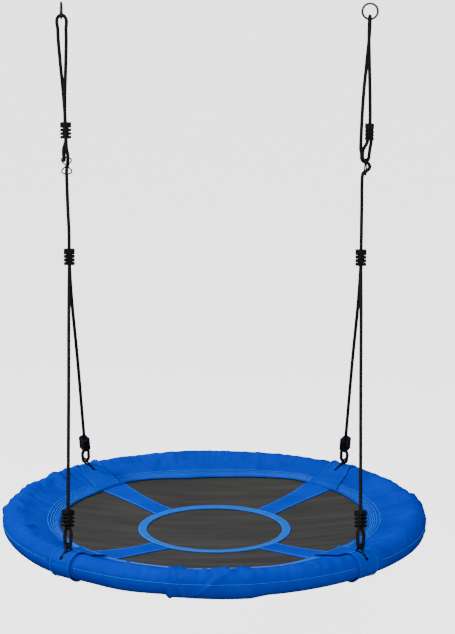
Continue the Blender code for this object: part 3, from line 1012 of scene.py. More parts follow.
@dataclass
class HangingSide(Roping):
    """One side of the hanging gear, from its ring down to the Y clamp.

    Its own x runs across the adjuster and its y along it. The left one is the right one turned a
    quarter about Z.
    """

    name: str
    sign: int
    ring_half_span: float = 0.348
    ring_radius: float = 0.0175
    ring_wire: float = 0.0025
    adjuster_drop: float = 0.3535
    adjuster_offset: float = 0.003
    adjuster_half_height: float = 0.0190
    adjuster_half_width: float = 0.0115
    adjuster_crossing: float = 0.00175
    adjuster_wire: float = 0.0016
    end_clamp_drop: float = 0.273
    end_clamp_offset: float = 0.0094
    end_eye_aside: float = 0.0052
    loop_end: tuple[float, float, float] = (-0.0098, -0.0020, -0.3070)
    loop_turn: float = 0.0090  # the loop's bend over the ring
    weave_end: tuple[float, float] = (-0.0067, -0.0300)
    fine_spacing: float = 0.0016
    spacing: float = 0.0025

    @property
    def turn(self) -> Matrix:
        """The turn from the side's own axes to the object's.

        Returns:
            The matrix.
        """
        return Matrix.Rotation(math.pi / 2 if self.sign < 0 else 0.0, 4, "Z")

    def at(self, x: float, y: float, z: float, lean: bool = True) -> Vector:
        """Turns a place in the side's own axes into the object's frame.

        Args:
            x: Across the adjuster.
            y: Along it.
            z: Height.
            lean: Whether the place follows the leaning rope line.

        Returns:
            The place.
        """
        point = self.turn @ Vector((x, y, z))
        run = self.y_clamp_drop - self.clamp_height / 2
        shift = (self.y_clamp_half_span - self.ring_half_span) * min(1.0, -z / run) if lean else 0.0
        point.x += self.sign * (self.ring_half_span + shift)
        return point

    def build(self) -> None:
        """Builds and dresses the side."""
        self.ring()
        end_foot = self.at(self.end_clamp_offset, 0, -self.end_clamp_drop - self.clamp_height / 2)
        end_place = Matrix.Translation(end_foot) @ self.turn
        on_loop = [self.clamp(f"end_clamp_{self.name}", end_place), self.adjuster(),
                   *self.woven_ropes()]
        for piece in on_loop:
            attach(piece, f"tensioner_{self.name}")
        self.loop(on_loop)
        y_foot = Vector((self.sign * self.y_clamp_half_span, 0, self.y_clamp_foot))
        y_place = Matrix.Translation(y_foot) @ Matrix.Rotation(math.pi / 2, 4, "Z")
        y_clamp = self.clamp(f"y_clamp_{self.name}", y_place)
        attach(y_clamp, f"bridle_{self.name}")
        self.standing(y_clamp)

    def ring(self) -> None:
        """Makes the hanging ring."""
        points = [self.at(self.ring_radius * math.cos(a), 0, self.ring_radius * math.sin(a), lean=False)
                  for a in directions(72)]
        ring = tube_piece(f"hanging_ring_{self.name}", np.array(points), self.ring_wire, 16,
                          self.finishes.ring_steel, closed=True)
        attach(ring, "swing_line" if self.sign < 0 else "anchor")
        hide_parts(f"ring_{self.name}")
        LOG.info("hanging ring, %s", self.name)

    def adjuster(self) -> bpy.types.Object:
        """Makes the figure-eight wire that the rope is woven through.

        Returns:
            The wire.
        """
        points = [
            self.at(self.adjuster_offset + self.adjuster_crossing * math.cos(a),
                    self.adjuster_half_width * math.sin(2 * a),
                    -self.adjuster_drop + self.adjuster_half_height * math.sin(a))
            for a in directions(96)
        ]
        piece = tube_piece(f"figure_eight_{self.name}", np.array(points), self.adjuster_wire, 12,
                           self.finishes.wire_steel, closed=True)
        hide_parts(f"adjuster_{self.name}")
        LOG.info("figure-eight adjuster, %s", self.name)
        return piece

    def woven_ropes(self) -> list[bpy.types.Object]:
        """Makes the rope woven through the adjuster and the end clamp's eye.

        Returns:
            The weave and the eye.
        """
        through = [
            (-0.0101, -0.0044, 0.0264), (-0.0101, -0.0044, 0.0204), (-0.0058, -0.0039, 0.0132),
            (0.0064, -0.0021, 0.0074), (0.0099, -0.0018, 0.0), (0.0064, 0.0, -0.0068),
            (-0.0047, 0.0, -0.0151), (-0.0065, 0.0, -0.0220),
            (self.weave_end[0], 0.0, self.weave_end[1] + self.lead),
            (self.weave_end[0], 0.0, self.weave_end[1]),
        ]
        x, y, z = self.loop_end
        weave = [self.at(x, y, z - self.gap), self.at(x, y, z - self.gap - self.lead)]
        weave += [self.at(self.adjuster_offset + a, b, c - self.adjuster_drop) for a, b, c in through]
        base = -self.end_clamp_drop - self.clamp_height / 2
        hook = self.adjuster_half_height - self.adjuster_drop
        turn = self.adjuster_wire + self.rope_radius + 3 * self.gap
        beside = self.end_eye_aside
        near = self.end_clamp_offset - self.strand_offset
        far = self.end_clamp_offset + self.strand_offset
        eye = [
            self.at(near, 0, base - self.gap), self.at(near, 0, base - self.gap - self.lead),
            self.at(self.adjuster_offset - turn, beside, base - 0.025),
            *(self.at(self.adjuster_offset - turn * math.cos(a), beside, hook - turn * math.sin(a))
              for a in (math.pi * step / 6 for step in range(7))),
            self.at(self.adjuster_offset + turn + 0.002, beside, base - 0.025),
            self.at(far, 0, base - self.gap - self.lead), self.at(far, 0, base - self.gap),
        ]
        return [
            self.braid(f"{kind}_{self.name}", f"{node}_{self.name}", route, self.fine_spacing)[0]
            for kind, node, route in (("weave", "weave_rope", weave), ("end_eye", "end_eye", eye))
        ]

    def loop(self, on_it: list[bpy.types.Object]) -> None:
        """Makes the rope from the adjuster over the ring's lower bar and down to the end clamp.

        Args:
            on_it: The pieces on this rope.
        """
        arc_z = -self.ring_radius + self.ring_wire + self.rope_radius + 2 * self.gap - self.loop_turn
        top = -self.end_clamp_drop + self.clamp_height / 2 + self.gap
        x, y, z = self.loop_end
        route = [
            self.at(x, y, z), self.at(x, y, z + self.lead), self.at(-0.0096, -0.0008, -0.2700),
            self.at(-0.0080, -0.0025, -0.1900), self.at(-0.0035, -0.0070, -0.1100),
            self.at(0.0, -0.0092, -0.0450),
            *(self.at(0, -self.loop_turn * math.cos(a), arc_z + self.loop_turn * math.sin(a))
              for a in (math.pi * step / 6 for step in range(1, 6))),
            self.at(0.0, 0.0092, -0.0450), self.at(0.0030, 0.0068, -0.1100),
            self.at(0.0072, 0.0022, -0.1900), self.at(self.end_clamp_offset, 0.0, top + self.lead),
            self.at(self.end_clamp_offset, 0.0, top),
        ]
        rope, path = self.braid(f"loop_{self.name}", f"loop_rope_{self.name}", route, self.spacing)
        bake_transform(rope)
        self.declare(rope, path, on_it)

    def standing(self, y_clamp: bpy.types.Object) -> None:
        """Makes the rope from the adjuster down to the Y clamp.

        Args:
            y_clamp: The clamp, which is on this rope.
        """
        x = self.sign * self.y_clamp_half_span
        top = self.y_clamp_foot + self.clamp_height + self.gap
        start = -self.adjuster_drop + self.weave_end[1] - self.gap
        beside = self.adjuster_offset + self.weave_end[0]
        strand = -self.strand_offset * 0.5
        route = [
            self.at(beside, 0, start), self.at(beside, 0, start - self.lead),
            self.at(beside * 0.6, 0, start - 0.060),
            Vector((x, strand, top + 0.040)), Vector((x, strand, top)),
        ]
        rope, path = self.braid(
            f"standing_{self.name}", f"standing_rope_{self.name}", route, self.spacing)
        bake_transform(rope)
        self.declare(rope, path, [y_clamp])


@dataclass
class LowerRope(Roping):
    """One of the four ropes from a Y clamp to the rim, with its clamp, its eye and its link."""

    corner: Corner
    seat_drop: float = 1.192
    rim_radius: float = 0.471
    section_radius: float = 0.029
    eye_x: float = 0.324
    eye_y: float = 0.342
    eye_above_rim: float = 0.038
    eye_half_width: float = 0.0088
    eye_turn: float = 0.0072
    clamp_up_rope: float = 0.066
    link_wire: float = 0.0023
    link_top: float = 0.0082
    link_foot_radius: float = 0.0168
    spacing: float = 0.004
    eye_spacing: float = 0.0016

    @property
    def hook(self) -> Vector:
        """The point where the eye is hooked by its link.

        Returns:
            The point.
        """
        sx, sy = self.corner.value
        return Vector((sx * self.eye_x, sy * self.eye_y, self.eye_above_rim - self.seat_drop))

    @property
    def leave(self) -> Vector:
        """The point where the rope leaves its Y clamp.

        Returns:
            The point.
        """
        sx, sy = self.corner.value
        foot = self.y_clamp_foot - self.gap
        return Vector((sx * self.y_clamp_half_span, sy * self.strand_offset, foot))

    def axes(self) -> tuple[Vector, Vector, Vector]:
        """Works out the rope's own axes at the eye.

        Returns:
            Across the eye, through it and up the rope.
        """
        up = (self.leave - self.hook).normalized()
        tangent = Vector((-self.hook.y, self.hook.x, 0))
        across = (tangent - tangent.dot(up) * up).normalized()
        return across, up.cross(across), up

    def link_foot(self) -> Vector:
        """Works out where the hoop's centre line passes through the link's plane.

        Returns:
            The point.
        """
        across = self.axes()[0]
        outward = Vector((self.hook.x, self.hook.y, 0)).normalized()
        tangent = Vector((-outward.y, outward.x, 0))
        below = outward * self.rim_radius + Vector((0, 0, -self.seat_drop))
        return below + tangent * ((self.hook - below).dot(across) / tangent.dot(across))

    def slit_angle(self) -> float:
        """Works out the direction in which the link comes up through the top of the rim.

        Returns:
            The direction in radians.
        """
        top = self.hook.lerp(self.link_foot(), 1 - self.section_radius / self.eye_above_rim)
        return math.atan2(top.y, top.x)

    def build(self) -> None:
        """Builds and dresses the rope and what is on it."""
        across, through, up = self.axes()
        foot = self.hook + up * (self.clamp_up_rope - self.clamp_height / 2)
        place = Matrix((across, through, up)).transposed().to_4x4()
        place.translation = foot
        name = self.corner.name
        lower = self.clamp(f"lower_clamp_{name}", place)
        eye = self.eye(foot, across, up)
        top = foot + up * (self.clamp_height + self.gap)
        route = [
            self.leave, self.leave - Vector((0, 0, self.lead)),
            self.leave - Vector((0, -math.copysign(0.006, self.leave.y), 0.016)),
            top + up * 0.25, top + up * 0.04, top,
        ]
        rope, path = self.braid(f"lower_{name}", f"lower_rope_{name}", route, self.spacing)
        for piece in (lower, eye, rope):
            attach(piece, f"bridle_{self.corner.side}")
        self.declare(rope, path, [lower, eye])
        self.link(across)

    def eye(self, foot: Vector, across: Vector, up: Vector) -> bpy.types.Object:
        """Makes the eye below the clamp.

        Args:
            foot: The middle of the clamp's lower face.
            across: The direction across the eye.
            up: The direction up the rope.

        Returns:
            The eye.
        """
        half = [
            foot - up * self.gap - across * self.strand_offset,
            foot - up * (self.gap + self.lead) - across * self.strand_offset,
            foot - up * 0.0140 - across * self.eye_half_width,
            self.hook + up * 0.0190 - across * self.eye_half_width,
        ]
        turn = self.eye_turn
        bottom = [self.hook + up * (turn - turn * math.sin(a)) - across * turn * math.cos(a)
                  for a in (math.pi * step / 6 for step in range(1, 6))]
        other = [p - 2 * (p - self.hook).dot(across) * across for p in reversed(half)]
        name = self.corner.name
        route = [*half, *bottom, *other]
        return self.braid(f"eye_{name}", f"lower_eye_{name}", route, self.eye_spacing)[0]

    def link(self, across: Vector) -> None:
        """Makes the closed wire link round the hoop.

        Args:
            across: The direction across the eye, square to the link.
        """
        foot = self.link_foot()
        up = (self.hook - foot).normalized()
        beside = up.cross(across)
        lean = math.asin((self.link_foot_radius - self.link_top) / (self.hook - foot).length)
        points = []
        for centre, radius, start, sweep, steps in (
            (self.hook, self.link_top, lean, math.pi - 2 * lean, 16),
            (foot, self.link_foot_radius, math.pi - lean, math.pi + 2 * lean, 28),
        ):
            for angle in start + sweep * np.arange(steps + 1) / steps:
                points.append(centre + radius * (beside * math.cos(angle) + up * math.sin(angle)))
        link = tube_piece(f"wire_link_{self.corner.name}", np.array(points), self.link_wire, 12,
                          self.finishes.wire_steel, closed=True)
        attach(link, "seat")
        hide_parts(f"hanger_link_{self.corner.name}")
        LOG.info("link %s", self.corner.name)


@dataclass
class Rim:
    """The shape of the padded rim: its section, the wandering hem and the creases in its cover."""

    band_angles: tuple[float, ...] = ()  # where the bands hold the cover flat
    seat_drop: float = 1.192
    centre_radius: float = 0.471
    section_radius: float = 0.029
    foam_turn: float = 118.0  # degrees of the section, each way, where the cloth lies on the foam
    flap_radius: float = 0.438  # where the cloth is half-way from the foam to the mat
    mat_sag: float = 0.0365
    mat_sag_radius: float = 0.420
    hem_lift: float = 0.0046
    seed: int = 11
    seam_share: float = 0.475  # the seam round the outside, where the upper cloth is gathered
    seam_depth: float = 1.3 * MM
    gather_height: float = 4.5 * MM
    swell_height: float = 1.2 * MM
    joint_angle: float = math.radians(257.5)  # where the sleeve's two ends are joined
    joint_sag: float = 5.0 * MM
    joint_ridge: float = 3.5 * MM
    # how far the cloth may sink at each share of the section, before it meets the foam
    room_inside: tuple[tuple[float, float], ...] = (
        (0.0, -0.001), (0.10, -0.006), (0.20, -0.005), (0.27, -0.0010), (0.73, -0.0010), (0.80, -0.003),
        (1.0, -0.001),
    )
    # hem radius in metres at each direction in degrees from +X
    hem_by_direction: tuple[tuple[float, float], ...] = (
        (1, 0.361), (19, 0.366), (41, 0.374), (58, 0.380), (73, 0.366), (85, 0.356), (102, 0.352),
        (115, 0.366), (125, 0.372), (143, 0.360), (162, 0.363), (179, 0.364), (193, 0.366),
        (205, 0.367), (222, 0.374), (235, 0.372), (254, 0.364), (263, 0.368), (270, 0.358),
        (279, 0.356), (291, 0.368), (297, 0.364), (309, 0.350), (327, 0.350), (339, 0.360),
    )
    fold_count: int = 76  # wide ones that start near the hem
    crease_count: int = 230  # narrow ones further out
    # where creases crowd: direction and spread in degrees, and how many
    crowds: tuple[tuple[float, float, int], ...] = ((0, 30, 40), (180, 30, 40), (266, 9, 22))
    # at the front joint: direction and half width in degrees, height in mm, slant, start and end share
    front_creases: tuple[tuple[float, ...], ...] = (
        (258.8, 0.9, 9.0, 0.2, 0.28, 0.62), (264.0, 1.5, 8.0, -0.5, 0.12, 0.42),
        (268.5, 1.6, 8.0, 0.4, 0.14, 0.42), (275.5, 1.2, 8.0, -0.4, 0.20, 0.50),
        (281.0, 1.7, 12.0, -0.8, 0.22, 0.60), (284.5, 1.0, 10.0, 0.5, 0.28, 0.62),
        (296.0, 0.8, 8.0, 0.2, 0.20, 0.44), (243.0, 1.0, 7.0, 0.4, 0.16, 0.40),
    )
    # a row for each fold: direction, half width, height, slant, start and end share
    folds: np.ndarray = field(init=False, repr=False)

    def __post_init__(self) -> None:
        """Draws the folds and the creases that end in the seam."""
        rng = np.random.default_rng(self.seed)
        count = self.fold_count + self.crease_count
        is_fold = np.arange(count) < self.fold_count

        def draw(fold: tuple[float, float], crease: tuple[float, float]) -> np.ndarray:
            """Draws a value for every fold and crease.

            Args:
                fold: The lowest and highest value of a fold.
                crease: The same for a crease.

            Returns:
                The values.
            """
            return np.where(is_fold, rng.uniform(*fold, count), rng.uniform(*crease, count))

        crowded = np.concatenate([rng.normal(*crowd) for crowd in self.crowds])
        spread = np.arange(self.fold_count) + rng.uniform(-0.35, 0.35, self.fold_count)
        anywhere = rng.uniform(0, 360, self.crease_count - len(crowded))
        where = np.radians(np.concatenate([spread * 360 / self.fold_count, anywhere, crowded]))
        width = np.radians(draw((1.8, 3.2), (0.8, 1.7)))
        height = draw((5.0, 9.0), (2.4, 5.0)) * MM
        height = height * rng.choice([-1, 1], count, p=[0.45, 0.55]) * self.looseness(where)
        slant = rng.normal(0, 0.45, count)
        start = draw((0.08, 0.22), (0.20, 0.40))
        stop = draw((0.40, 0.52), (0.10, 0.22)) + np.where(is_fold, 0.0, start)
        at, wide, high, *others = np.array(self.front_creases).T
        front = np.array([np.radians(at), np.radians(wide), high * MM, *others])
        self.folds = np.hstack([np.array([where, width, height, slant, start, stop]), front]).T

    @staticmethod
    def looseness(angle: np.ndarray) -> np.ndarray:
        """Says how loose the cloth is: most at the two sides, and at the front joint.

        Args:
            angle: The directions.

        Returns:
            The looseness in each direction.
        """
        sides = np.abs(np.cos(angle)) ** 1.5
        front = bump((np.degrees(angle) % 360 - 266) / 13)
        return 0.35 + 0.65 * sides + 0.65 * front

    def hem_radius(self, angle: np.ndarray) -> np.ndarray:
        """Looks up the hem's radius.

        Args:
            angle: The directions.

        Returns:
            The radius in each direction.
        """
        where, radius = np.array(self.hem_by_direction).T
        return np.interp(np.degrees(angle) % 360, where, radius, period=360)

    def mat_height(self, radius: np.ndarray) -> np.ndarray:
        """Works out the height of the sagging mat.

        Args:
            radius: The distances from its middle.

        Returns:
            The heights above the middle of the rim.
        """
        return -self.mat_sag * (1 - (radius / self.mat_sag_radius) ** 2)

    def creases(self, angle: np.ndarray, share: np.ndarray) -> np.ndarray:
        """Works out how far the cover stands out at each place.

        Args:
            angle: The direction.
            share: The place along the section, from the upper hem at 0 to the lower one at 1.

        Returns:
            The height of the creases in metres.
        """
        total = np.zeros(np.broadcast(angle, share).shape)
        for at, width, height, slant, start, stop in self.folds:
            aside = turn_between(angle - at, slant * (share - start))
            fade = ramp(share - start, 0.10) * ramp(stop - share, 0.05)
            total += height * fade * np.clip(1 - np.abs(aside / width), 0, 1) ** 1.6
        total *= np.interp(share, (0.20, 0.34), (1.1, 0.42))
        total += self.gathers(angle, share)
        for band in self.band_angles:
            total *= 1 - 0.85 * np.exp(-((turn_between(angle, band) / 0.07) ** 4))
        pucker = 1 + 0.5 * np.sin(130 * angle)
        total -= self.seam_depth * pucker * bump((share - self.seam_share) / 0.010)
        joint = turn_between(angle, self.joint_angle)
        on_side = ramp(share - 0.28, 0.14) * ramp(0.90 - share, 0.15)
        sag = ramp(joint, 0.014) * ramp(0.46 - joint, 0.08)
        total += on_side * (self.joint_sag * sag + self.joint_ridge * bump((joint - 0.016) / 0.012))
        total += self.swell_height * np.sin(9 * angle + 2 * np.sin(3 * angle)) * np.sin(math.pi * share)
        return np.maximum(total, np.interp(share, *zip(*self.room_inside)))

    def gathers(self, angle: np.ndarray, share: np.ndarray) -> np.ndarray:
        """Works out the close gathers from hem to seam: round ridges with sharp valleys.

        Args:
            angle: The direction.
            share: The place along the section.

        Returns:
            The height of the gathers in metres.
        """
        slant = 9 * np.sin(5 * angle + 0.7) + 5 * np.sin(11 * angle + 2.0)
        phase = 52 * angle + 2.4 * np.sin(7 * angle + 1.0) + 1.6 * np.sin(16 * angle)
        phase = phase + slant * (share - 0.3)
        uneven = 0.62 + 0.38 * np.sin(23 * angle + 3 * np.sin(4 * angle) + 8 * share)
        shape = np.abs(np.sin(phase)) - 0.35
        reach = np.interp(share, (0.11, 0.22, 0.40, self.seam_share, 0.54), (0.0, 1.0, 0.9, 0.45, 0.0))
        loose = np.clip(self.looseness(angle) - 0.12, 0, 1)
        return self.gather_height * shape * uneven * reach * loose

    def at(
        self, angle: np.ndarray, share: np.ndarray | float, lift: float | np.ndarray = 0.0
    ) -> np.ndarray:
        """Places points on the cover.

        Args:
            angle: Their directions.
            share: Their places along the section, from the upper hem at 0 to the lower one at 1.
            lift: How far they stand off the cloth.

        Returns:
            The points, in the object's frame.
        """
        angle, share = np.broadcast_arrays(np.asarray(angle, float), np.asarray(share, float))
        radius, height = self.section(angle, share)
        step = 0.002
        r1, z1 = self.section(angle, np.clip(share + step, 0, 1))
        r0, z0 = self.section(angle, np.clip(share - step, 0, 1))
        length = np.maximum(np.hypot(r1 - r0, z1 - z0), 1e-9)
        out_r, out_z = -(z1 - z0) / length, (r1 - r0) / length
        off = self.creases(angle, share) + lift
        return polar(radius + out_r * off, angle, height + out_z * off - self.seat_drop)

    def section(self, angle: np.ndarray, share: np.ndarray) -> tuple[np.ndarray, np.ndarray]:
        """Places points on the smooth section, with no creases.

        Args:
            angle: Their directions, which set the hem's radius.
            share: Their places along the section.

        Returns:
            The radius and the height above the middle of the rim.
        """
        hem = self.hem_radius(angle)
        low = self.mat_height(hem)
        turns = np.radians(np.linspace(self.foam_turn, -self.foam_turn, 11))
        arc_r = self.centre_radius + self.section_radius * np.cos(turns)
        arc_z = self.section_radius * np.sin(turns)
        flap = self.flap_radius
        inner = hem + 0.3 * (flap - hem)
        radii = [hem, inner, flap, *arc_r, flap, inner, hem]
        heights = [low + self.hem_lift, low * 0.5 + 0.0070, 0.0165, *arc_z, -0.0185,
                   low * 0.5 - 0.0105, low - self.hem_lift]
        marks = np.array([0, 0.09, 0.20, *np.linspace(0.27, 0.73, 11), 0.80, 0.91, 1.0])
        radius, height = (
            hermite(marks, np.stack([np.broadcast_to(knot, hem.shape) for knot in knots]), share)
            for knots in (radii, heights)
        )
        return radius, height


@dataclass
class Seat:
    """The padded rim with its bands, and the mat with its straps and ring of tape."""

    finishes: Finishes
    rim: Rim
    slit_angles: dict[Corner, float]
    columns: int = 840
    upper_rows: int = 46
    lower_rows: int = 11
    section_length: float = 0.30
    map_radius: float = 0.45
    cloth_wall: float = 1.2 * MM  # of the cover, the bands, the straps and the tape
    cover_slit: float = 4.5 * MM  # half the width of the slit in the cover
    band_slit: float = 4.0 * MM  # and in the bands
    band_lift: float = 2.0 * MM
    edge_lift: float = 3.5 * MM
    band_half_width: float = 0.031
    band_hem_half_width: float = 0.046
    band_hem_shift: float = math.radians(4.0)
    band_clear: float = math.radians(5.0)  # round each band, where the rim's stitches stop
    slit_inner: float = 0.440
    slit_outer: float = 0.497
    slit_stitch_half_width: float = 8.5 * MM
    slit_stitch_shares: tuple[float, float] = (0.185, 0.405)
    mat_radius: float = 0.436
    mat_wall: float = 2.0 * MM
    mat_columns: int = 240
    mat_rows: int = 56
    ripple_height: float = 0.35 * MM
    strap_gap: float = 0.5 * MM
    strap_length: float = 0.205
    strap_outer: float = 0.386
    strap_ring_width: float = 0.060
    strap_hem_width: float = 0.088
    strap_waist_width: float = 0.060
    tape_outer: float = 0.181
    tape_inner: float = 0.160
    tape_crown: float = 1.2 * MM
    thread_proud: float = 0.5 * MM
    hem_rows: tuple[float, ...] = (0.036, 0.054, 0.072, 0.090, 0.108)

    @property
    def strap_top(self) -> float:
        """The height of a strap's upper face above the mat's middle layer.

        Returns:
            The height in metres.
        """
        return self.mat_wall / 2 + self.strap_gap + self.cloth_wall

    def build(self) -> None:
        """Builds and dresses the seat."""
        self.cover()
        self.binding()
        for corner in Corner:
            self.band(corner)
        self.mat()
        self.tape()
        for corner in Corner:
            self.strap(corner)
        self.stitching()
        self.hoop()

    def finish_piece(self, piece: bpy.types.Object, slot: str, *nodes: str) -> bpy.types.Object:
        """Joins a piece to the seat and reports it.

        Args:
            piece: The piece.
            slot: Not used.
            *nodes: The nodes that it stands for.

        Returns:
            The piece.
        """
        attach(piece, "seat")
        if nodes:
            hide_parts(*nodes)
        LOG.info("%s, %d faces", piece.name, len(piece.data.polygons))
        return piece

    def is_slit(self, points: np.ndarray, half_width: float) -> np.ndarray:
        """Finds the cells over a slit.

        Args:
            points: The middles of the cells.
            half_width: Half the slit's width.

        Returns:
            True for each cell in a slit.
        """
        radius = np.hypot(points[..., 0], points[..., 1])
        angle = np.arctan2(points[..., 1], points[..., 0])
        found = np.zeros(radius.shape, bool)
        for slit in self.slit_angles.values():
            found |= np.abs(turn_between(angle, slit)) * radius < half_width
        above = points[..., 2] > 0.008 - self.rim.seat_drop
        return found & above & (radius > self.slit_inner) & (radius < self.slit_outer)

    def cover(self) -> None:
        """Makes the sleeve of cloth round the rim, gathered at its hems."""
        share = np.concatenate([
            np.linspace(0, 0.6, self.upper_rows), np.linspace(0.6, 1, self.lower_rows)[1:],
        ])
        points = self.rim.at(directions(self.columns)[None, :], share[:, None])
        uv = ring_map(self.map_radius, self.columns, share * self.section_length)
        middles = (points[:-1] + points[1:]) / 2
        middles = (middles + np.roll(middles, -1, axis=1)) / 2
        cover = grid_piece("gathered_cover", points, uv, self.finishes.cover, self.cloth_wall, wrap=True,
                           hole=self.is_slit(middles, self.cover_slit))
        self.finish_piece(cover, "cover_fabric", "cover")

    def binding(self) -> None:
        """Makes the strip that binds the upper hem."""
        share = np.array([0.0, 0.004, 0.010, 0.018, 0.026, 0.030])
        lift = np.array([0.0, 0.8, 1.1, 1.1, 0.8, 0.1]) * MM
        angle = directions(self.columns)
        points = np.stack([self.rim.at(angle, *row) for row in zip(share, lift)])
        uv = ring_map(0.36, self.columns, share * self.section_length)
        binding = grid_piece("hem_binding", points, uv, self.finishes.binding, 0.6 * MM, wrap=True)
        self.finish_piece(binding, "cover_fabric")

    def band_edge(self, corner: Corner, share: np.ndarray, across: np.ndarray) -> np.ndarray:
        """Works out the direction of a place on a band.

        Args:
            corner: Which band.
            share: The place along the section.
            across: The place across the band, from -1 to 1.

        Returns:
            The direction in radians.
        """
        slit = self.slit_angles[corner]
        near_hem = np.clip(1 - np.minimum(share, 1 - share) / 0.30, 0, 1) ** 1.3
        half = self.band_half_width + (self.band_hem_half_width - self.band_half_width) * near_hem
        sign_x, sign_y = corner.value
        shift = -self.band_hem_shift * sign_x * sign_y * near_hem
        radius = self.rim.section(slit + 0 * share, share)[0]
        return slit + shift + across * half / radius

    def band(self, corner: Corner) -> None:
        """Makes one reinforcement band over the rim, flared at the hems and open at its slit.

        Args:
            corner: Which band.
        """
        share = np.linspace(0.004, 0.996, 120)
        across = np.linspace(-1, 1, 33)
        angle = self.band_edge(corner, share[:, None], across[None, :])
        share_grid = np.broadcast_to(share[:, None], angle.shape)
        is_loose = across * corner.value[0] * corner.value[1] > 0
        loose = np.where(is_loose, self.edge_lift, 0.3 * self.edge_lift)
        points = self.rim.at(angle, share_grid, self.band_lift + loose * across**6)
        uv = np.stack([angle * self.map_radius, share_grid * self.section_length], axis=-1)
        middles = (points[:-1, :-1] + points[1:, :-1] + points[:-1, 1:] + points[1:, 1:]) / 4
        band = grid_piece(f"rim_band_{corner.name}", points, uv, self.finishes.strap, self.cloth_wall,
                          hole=self.is_slit(middles, self.band_slit))
        self.finish_piece(band, "cover_fabric", f"slit_band_{corner.name}")

    def mat(self) -> None:
        """Makes the sagging mat, with faint ripples of uneven tension."""
        radius = np.concatenate([[0.8 * MM], np.linspace(0.01, self.mat_radius, self.mat_rows)])
        grid_r, grid_a = np.meshgrid(radius, directions(self.mat_columns), indexing="ij")
        x, y = grid_r * np.cos(grid_a), grid_r * np.sin(grid_a)
        ripple = self.ripple_height * np.sin(90 * x + 30 * y) * np.sin(40 * y - 12 * x)
        ripple *= ramp(0.34 - grid_r, 0.05)
        height = self.rim.mat_height(grid_r) + self.mat_wall / 2 + ripple - self.rim.seat_drop
        points = np.stack([x, y, height], axis=-1)
        around = math.tau * np.arange(self.mat_columns + 1) / self.mat_columns
        uv = np.stack([radius[:, None] * np.cos(around), radius[:, None] * np.sin(around)], axis=-1)
        mat = grid_piece("woven_mat", points, uv, self.finishes.mat, self.mat_wall, wrap=True, cap=True)
        self.finish_piece(mat, "mat_fabric", "mat")

    def on_mat(self, radius: np.ndarray, angle: np.ndarray) -> np.ndarray:
        """Places points on the mat's straps and tape.

        Args:
            radius: Their distances from the middle.
            angle: Their directions.

        Returns:
            The points.
        """
        return polar(radius, angle, self.rim.mat_height(radius) + self.strap_top - self.rim.seat_drop)

    def tape(self) -> None:
        """Makes the ring of webbing at the middle of the mat, slightly crowned."""
        across = np.linspace(-1, 1, 13)
        radius = np.linspace(self.tape_inner, self.tape_outer, len(across))
        grid_r, grid_a = np.meshgrid(radius, directions(self.mat_columns), indexing="ij")
        points = self.on_mat(grid_r, grid_a)
        points[..., 2] += self.tape_crown * (1 - across[:, None] ** 4)
        uv = ring_map(self.tape_outer, self.mat_columns, radius)
        tape = grid_piece("centre_ring_tape", points, uv, self.finishes.tape, self.cloth_wall, wrap=True)
        self.finish_piece(tape, "ring_tape", "centre_ring")

    def strap_edge(
        self, corner: Corner, t: np.ndarray, across: np.ndarray, inset: float = 0.0
    ) -> np.ndarray:
        """Places points on a strap, which is narrowest at its middle.

        Args:
            corner: Which strap.
            t: The place along it, from the ring at 0 to the hem at 1.
            across: The place across it, from -1 to 1.
            inset: How far the strap's edges are drawn in, for stitching.

        Returns:
            The points.
        """
        sx, sy = corner.value
        direction = math.atan2(sy * LowerRope.eye_y, sx * LowerRope.eye_x)
        inner = self.tape_outer - 0.001
        radius = inner + (self.strap_outer - inner) * t
        straight = self.strap_ring_width + (self.strap_hem_width - self.strap_ring_width) * t
        depth = (self.strap_ring_width + self.strap_hem_width) / 2 - self.strap_waist_width
        side = across * ((straight - depth * 4 * t * (1 - t)) / 2 - inset)
        return self.on_mat(radius + 0 * side, direction + np.arcsin(side / radius))

    def strap(self, corner: Corner) -> None:
        """Makes one cross strap from the ring of tape to under the hem.

        Args:
            corner: Which strap.
        """
        t, across = np.meshgrid(np.linspace(0, 1, 40), np.linspace(-1, 1, 15), indexing="ij")
        points = self.strap_edge(corner, t, across)
        points[..., 2] += 0.5 * MM * (1 - across**2)
        uv = np.stack([t * self.strap_length, across * 0.033], axis=-1)
        strap = grid_piece(f"mat_strap_{corner.name}", points, uv, self.finishes.strap, self.cloth_wall)
        self.finish_piece(strap, "cover_fabric", f"cross_strap_{corner.name}")

    def stitching(self) -> None:
        """Sews the hems, the outer seam, the bands, the slits, the straps and the tape."""
        proud = self.thread_proud
        round_rim = np.radians(np.arange(0, 360.5, 0.5))
        rows = [(share, proud) for share in self.hem_rows]
        rows.append((self.rim.seam_share, proud + 0.6 * MM))
        on_cover = [part for row in rows for part in self.off_bands(self.rim.at(round_rim, *row))]
        on_bands = [line for corner in Corner for line in self.band_seams(corner)]
        ring = np.radians(np.arange(0, 361, 1.0))
        on_mat = [self.on_mat(np.full_like(ring, radius), ring) + np.array([0, 0, 1.1 * MM])
                  for radius in (self.tape_inner + 0.003, self.tape_outer - 0.003)]
        t = np.linspace(0.02, 0.9, 60)
        on_mat += [
            self.strap_edge(corner, t, np.full_like(t, across), 0.004) + np.array([0, 0, 0.25 * MM])
            for corner in Corner for across in (-1, 1)
        ]
        stitch = StitchLine()
        for name, lines, thread in (
            ("cover_stitching", on_cover, self.finishes.thread),
            ("band_stitching", on_bands, self.finishes.band_thread),
            ("mat_stitching", on_mat, self.finishes.thread),
        ):
            self.finish_piece(stitch.sew(name, lines, thread), "cover_fabric")

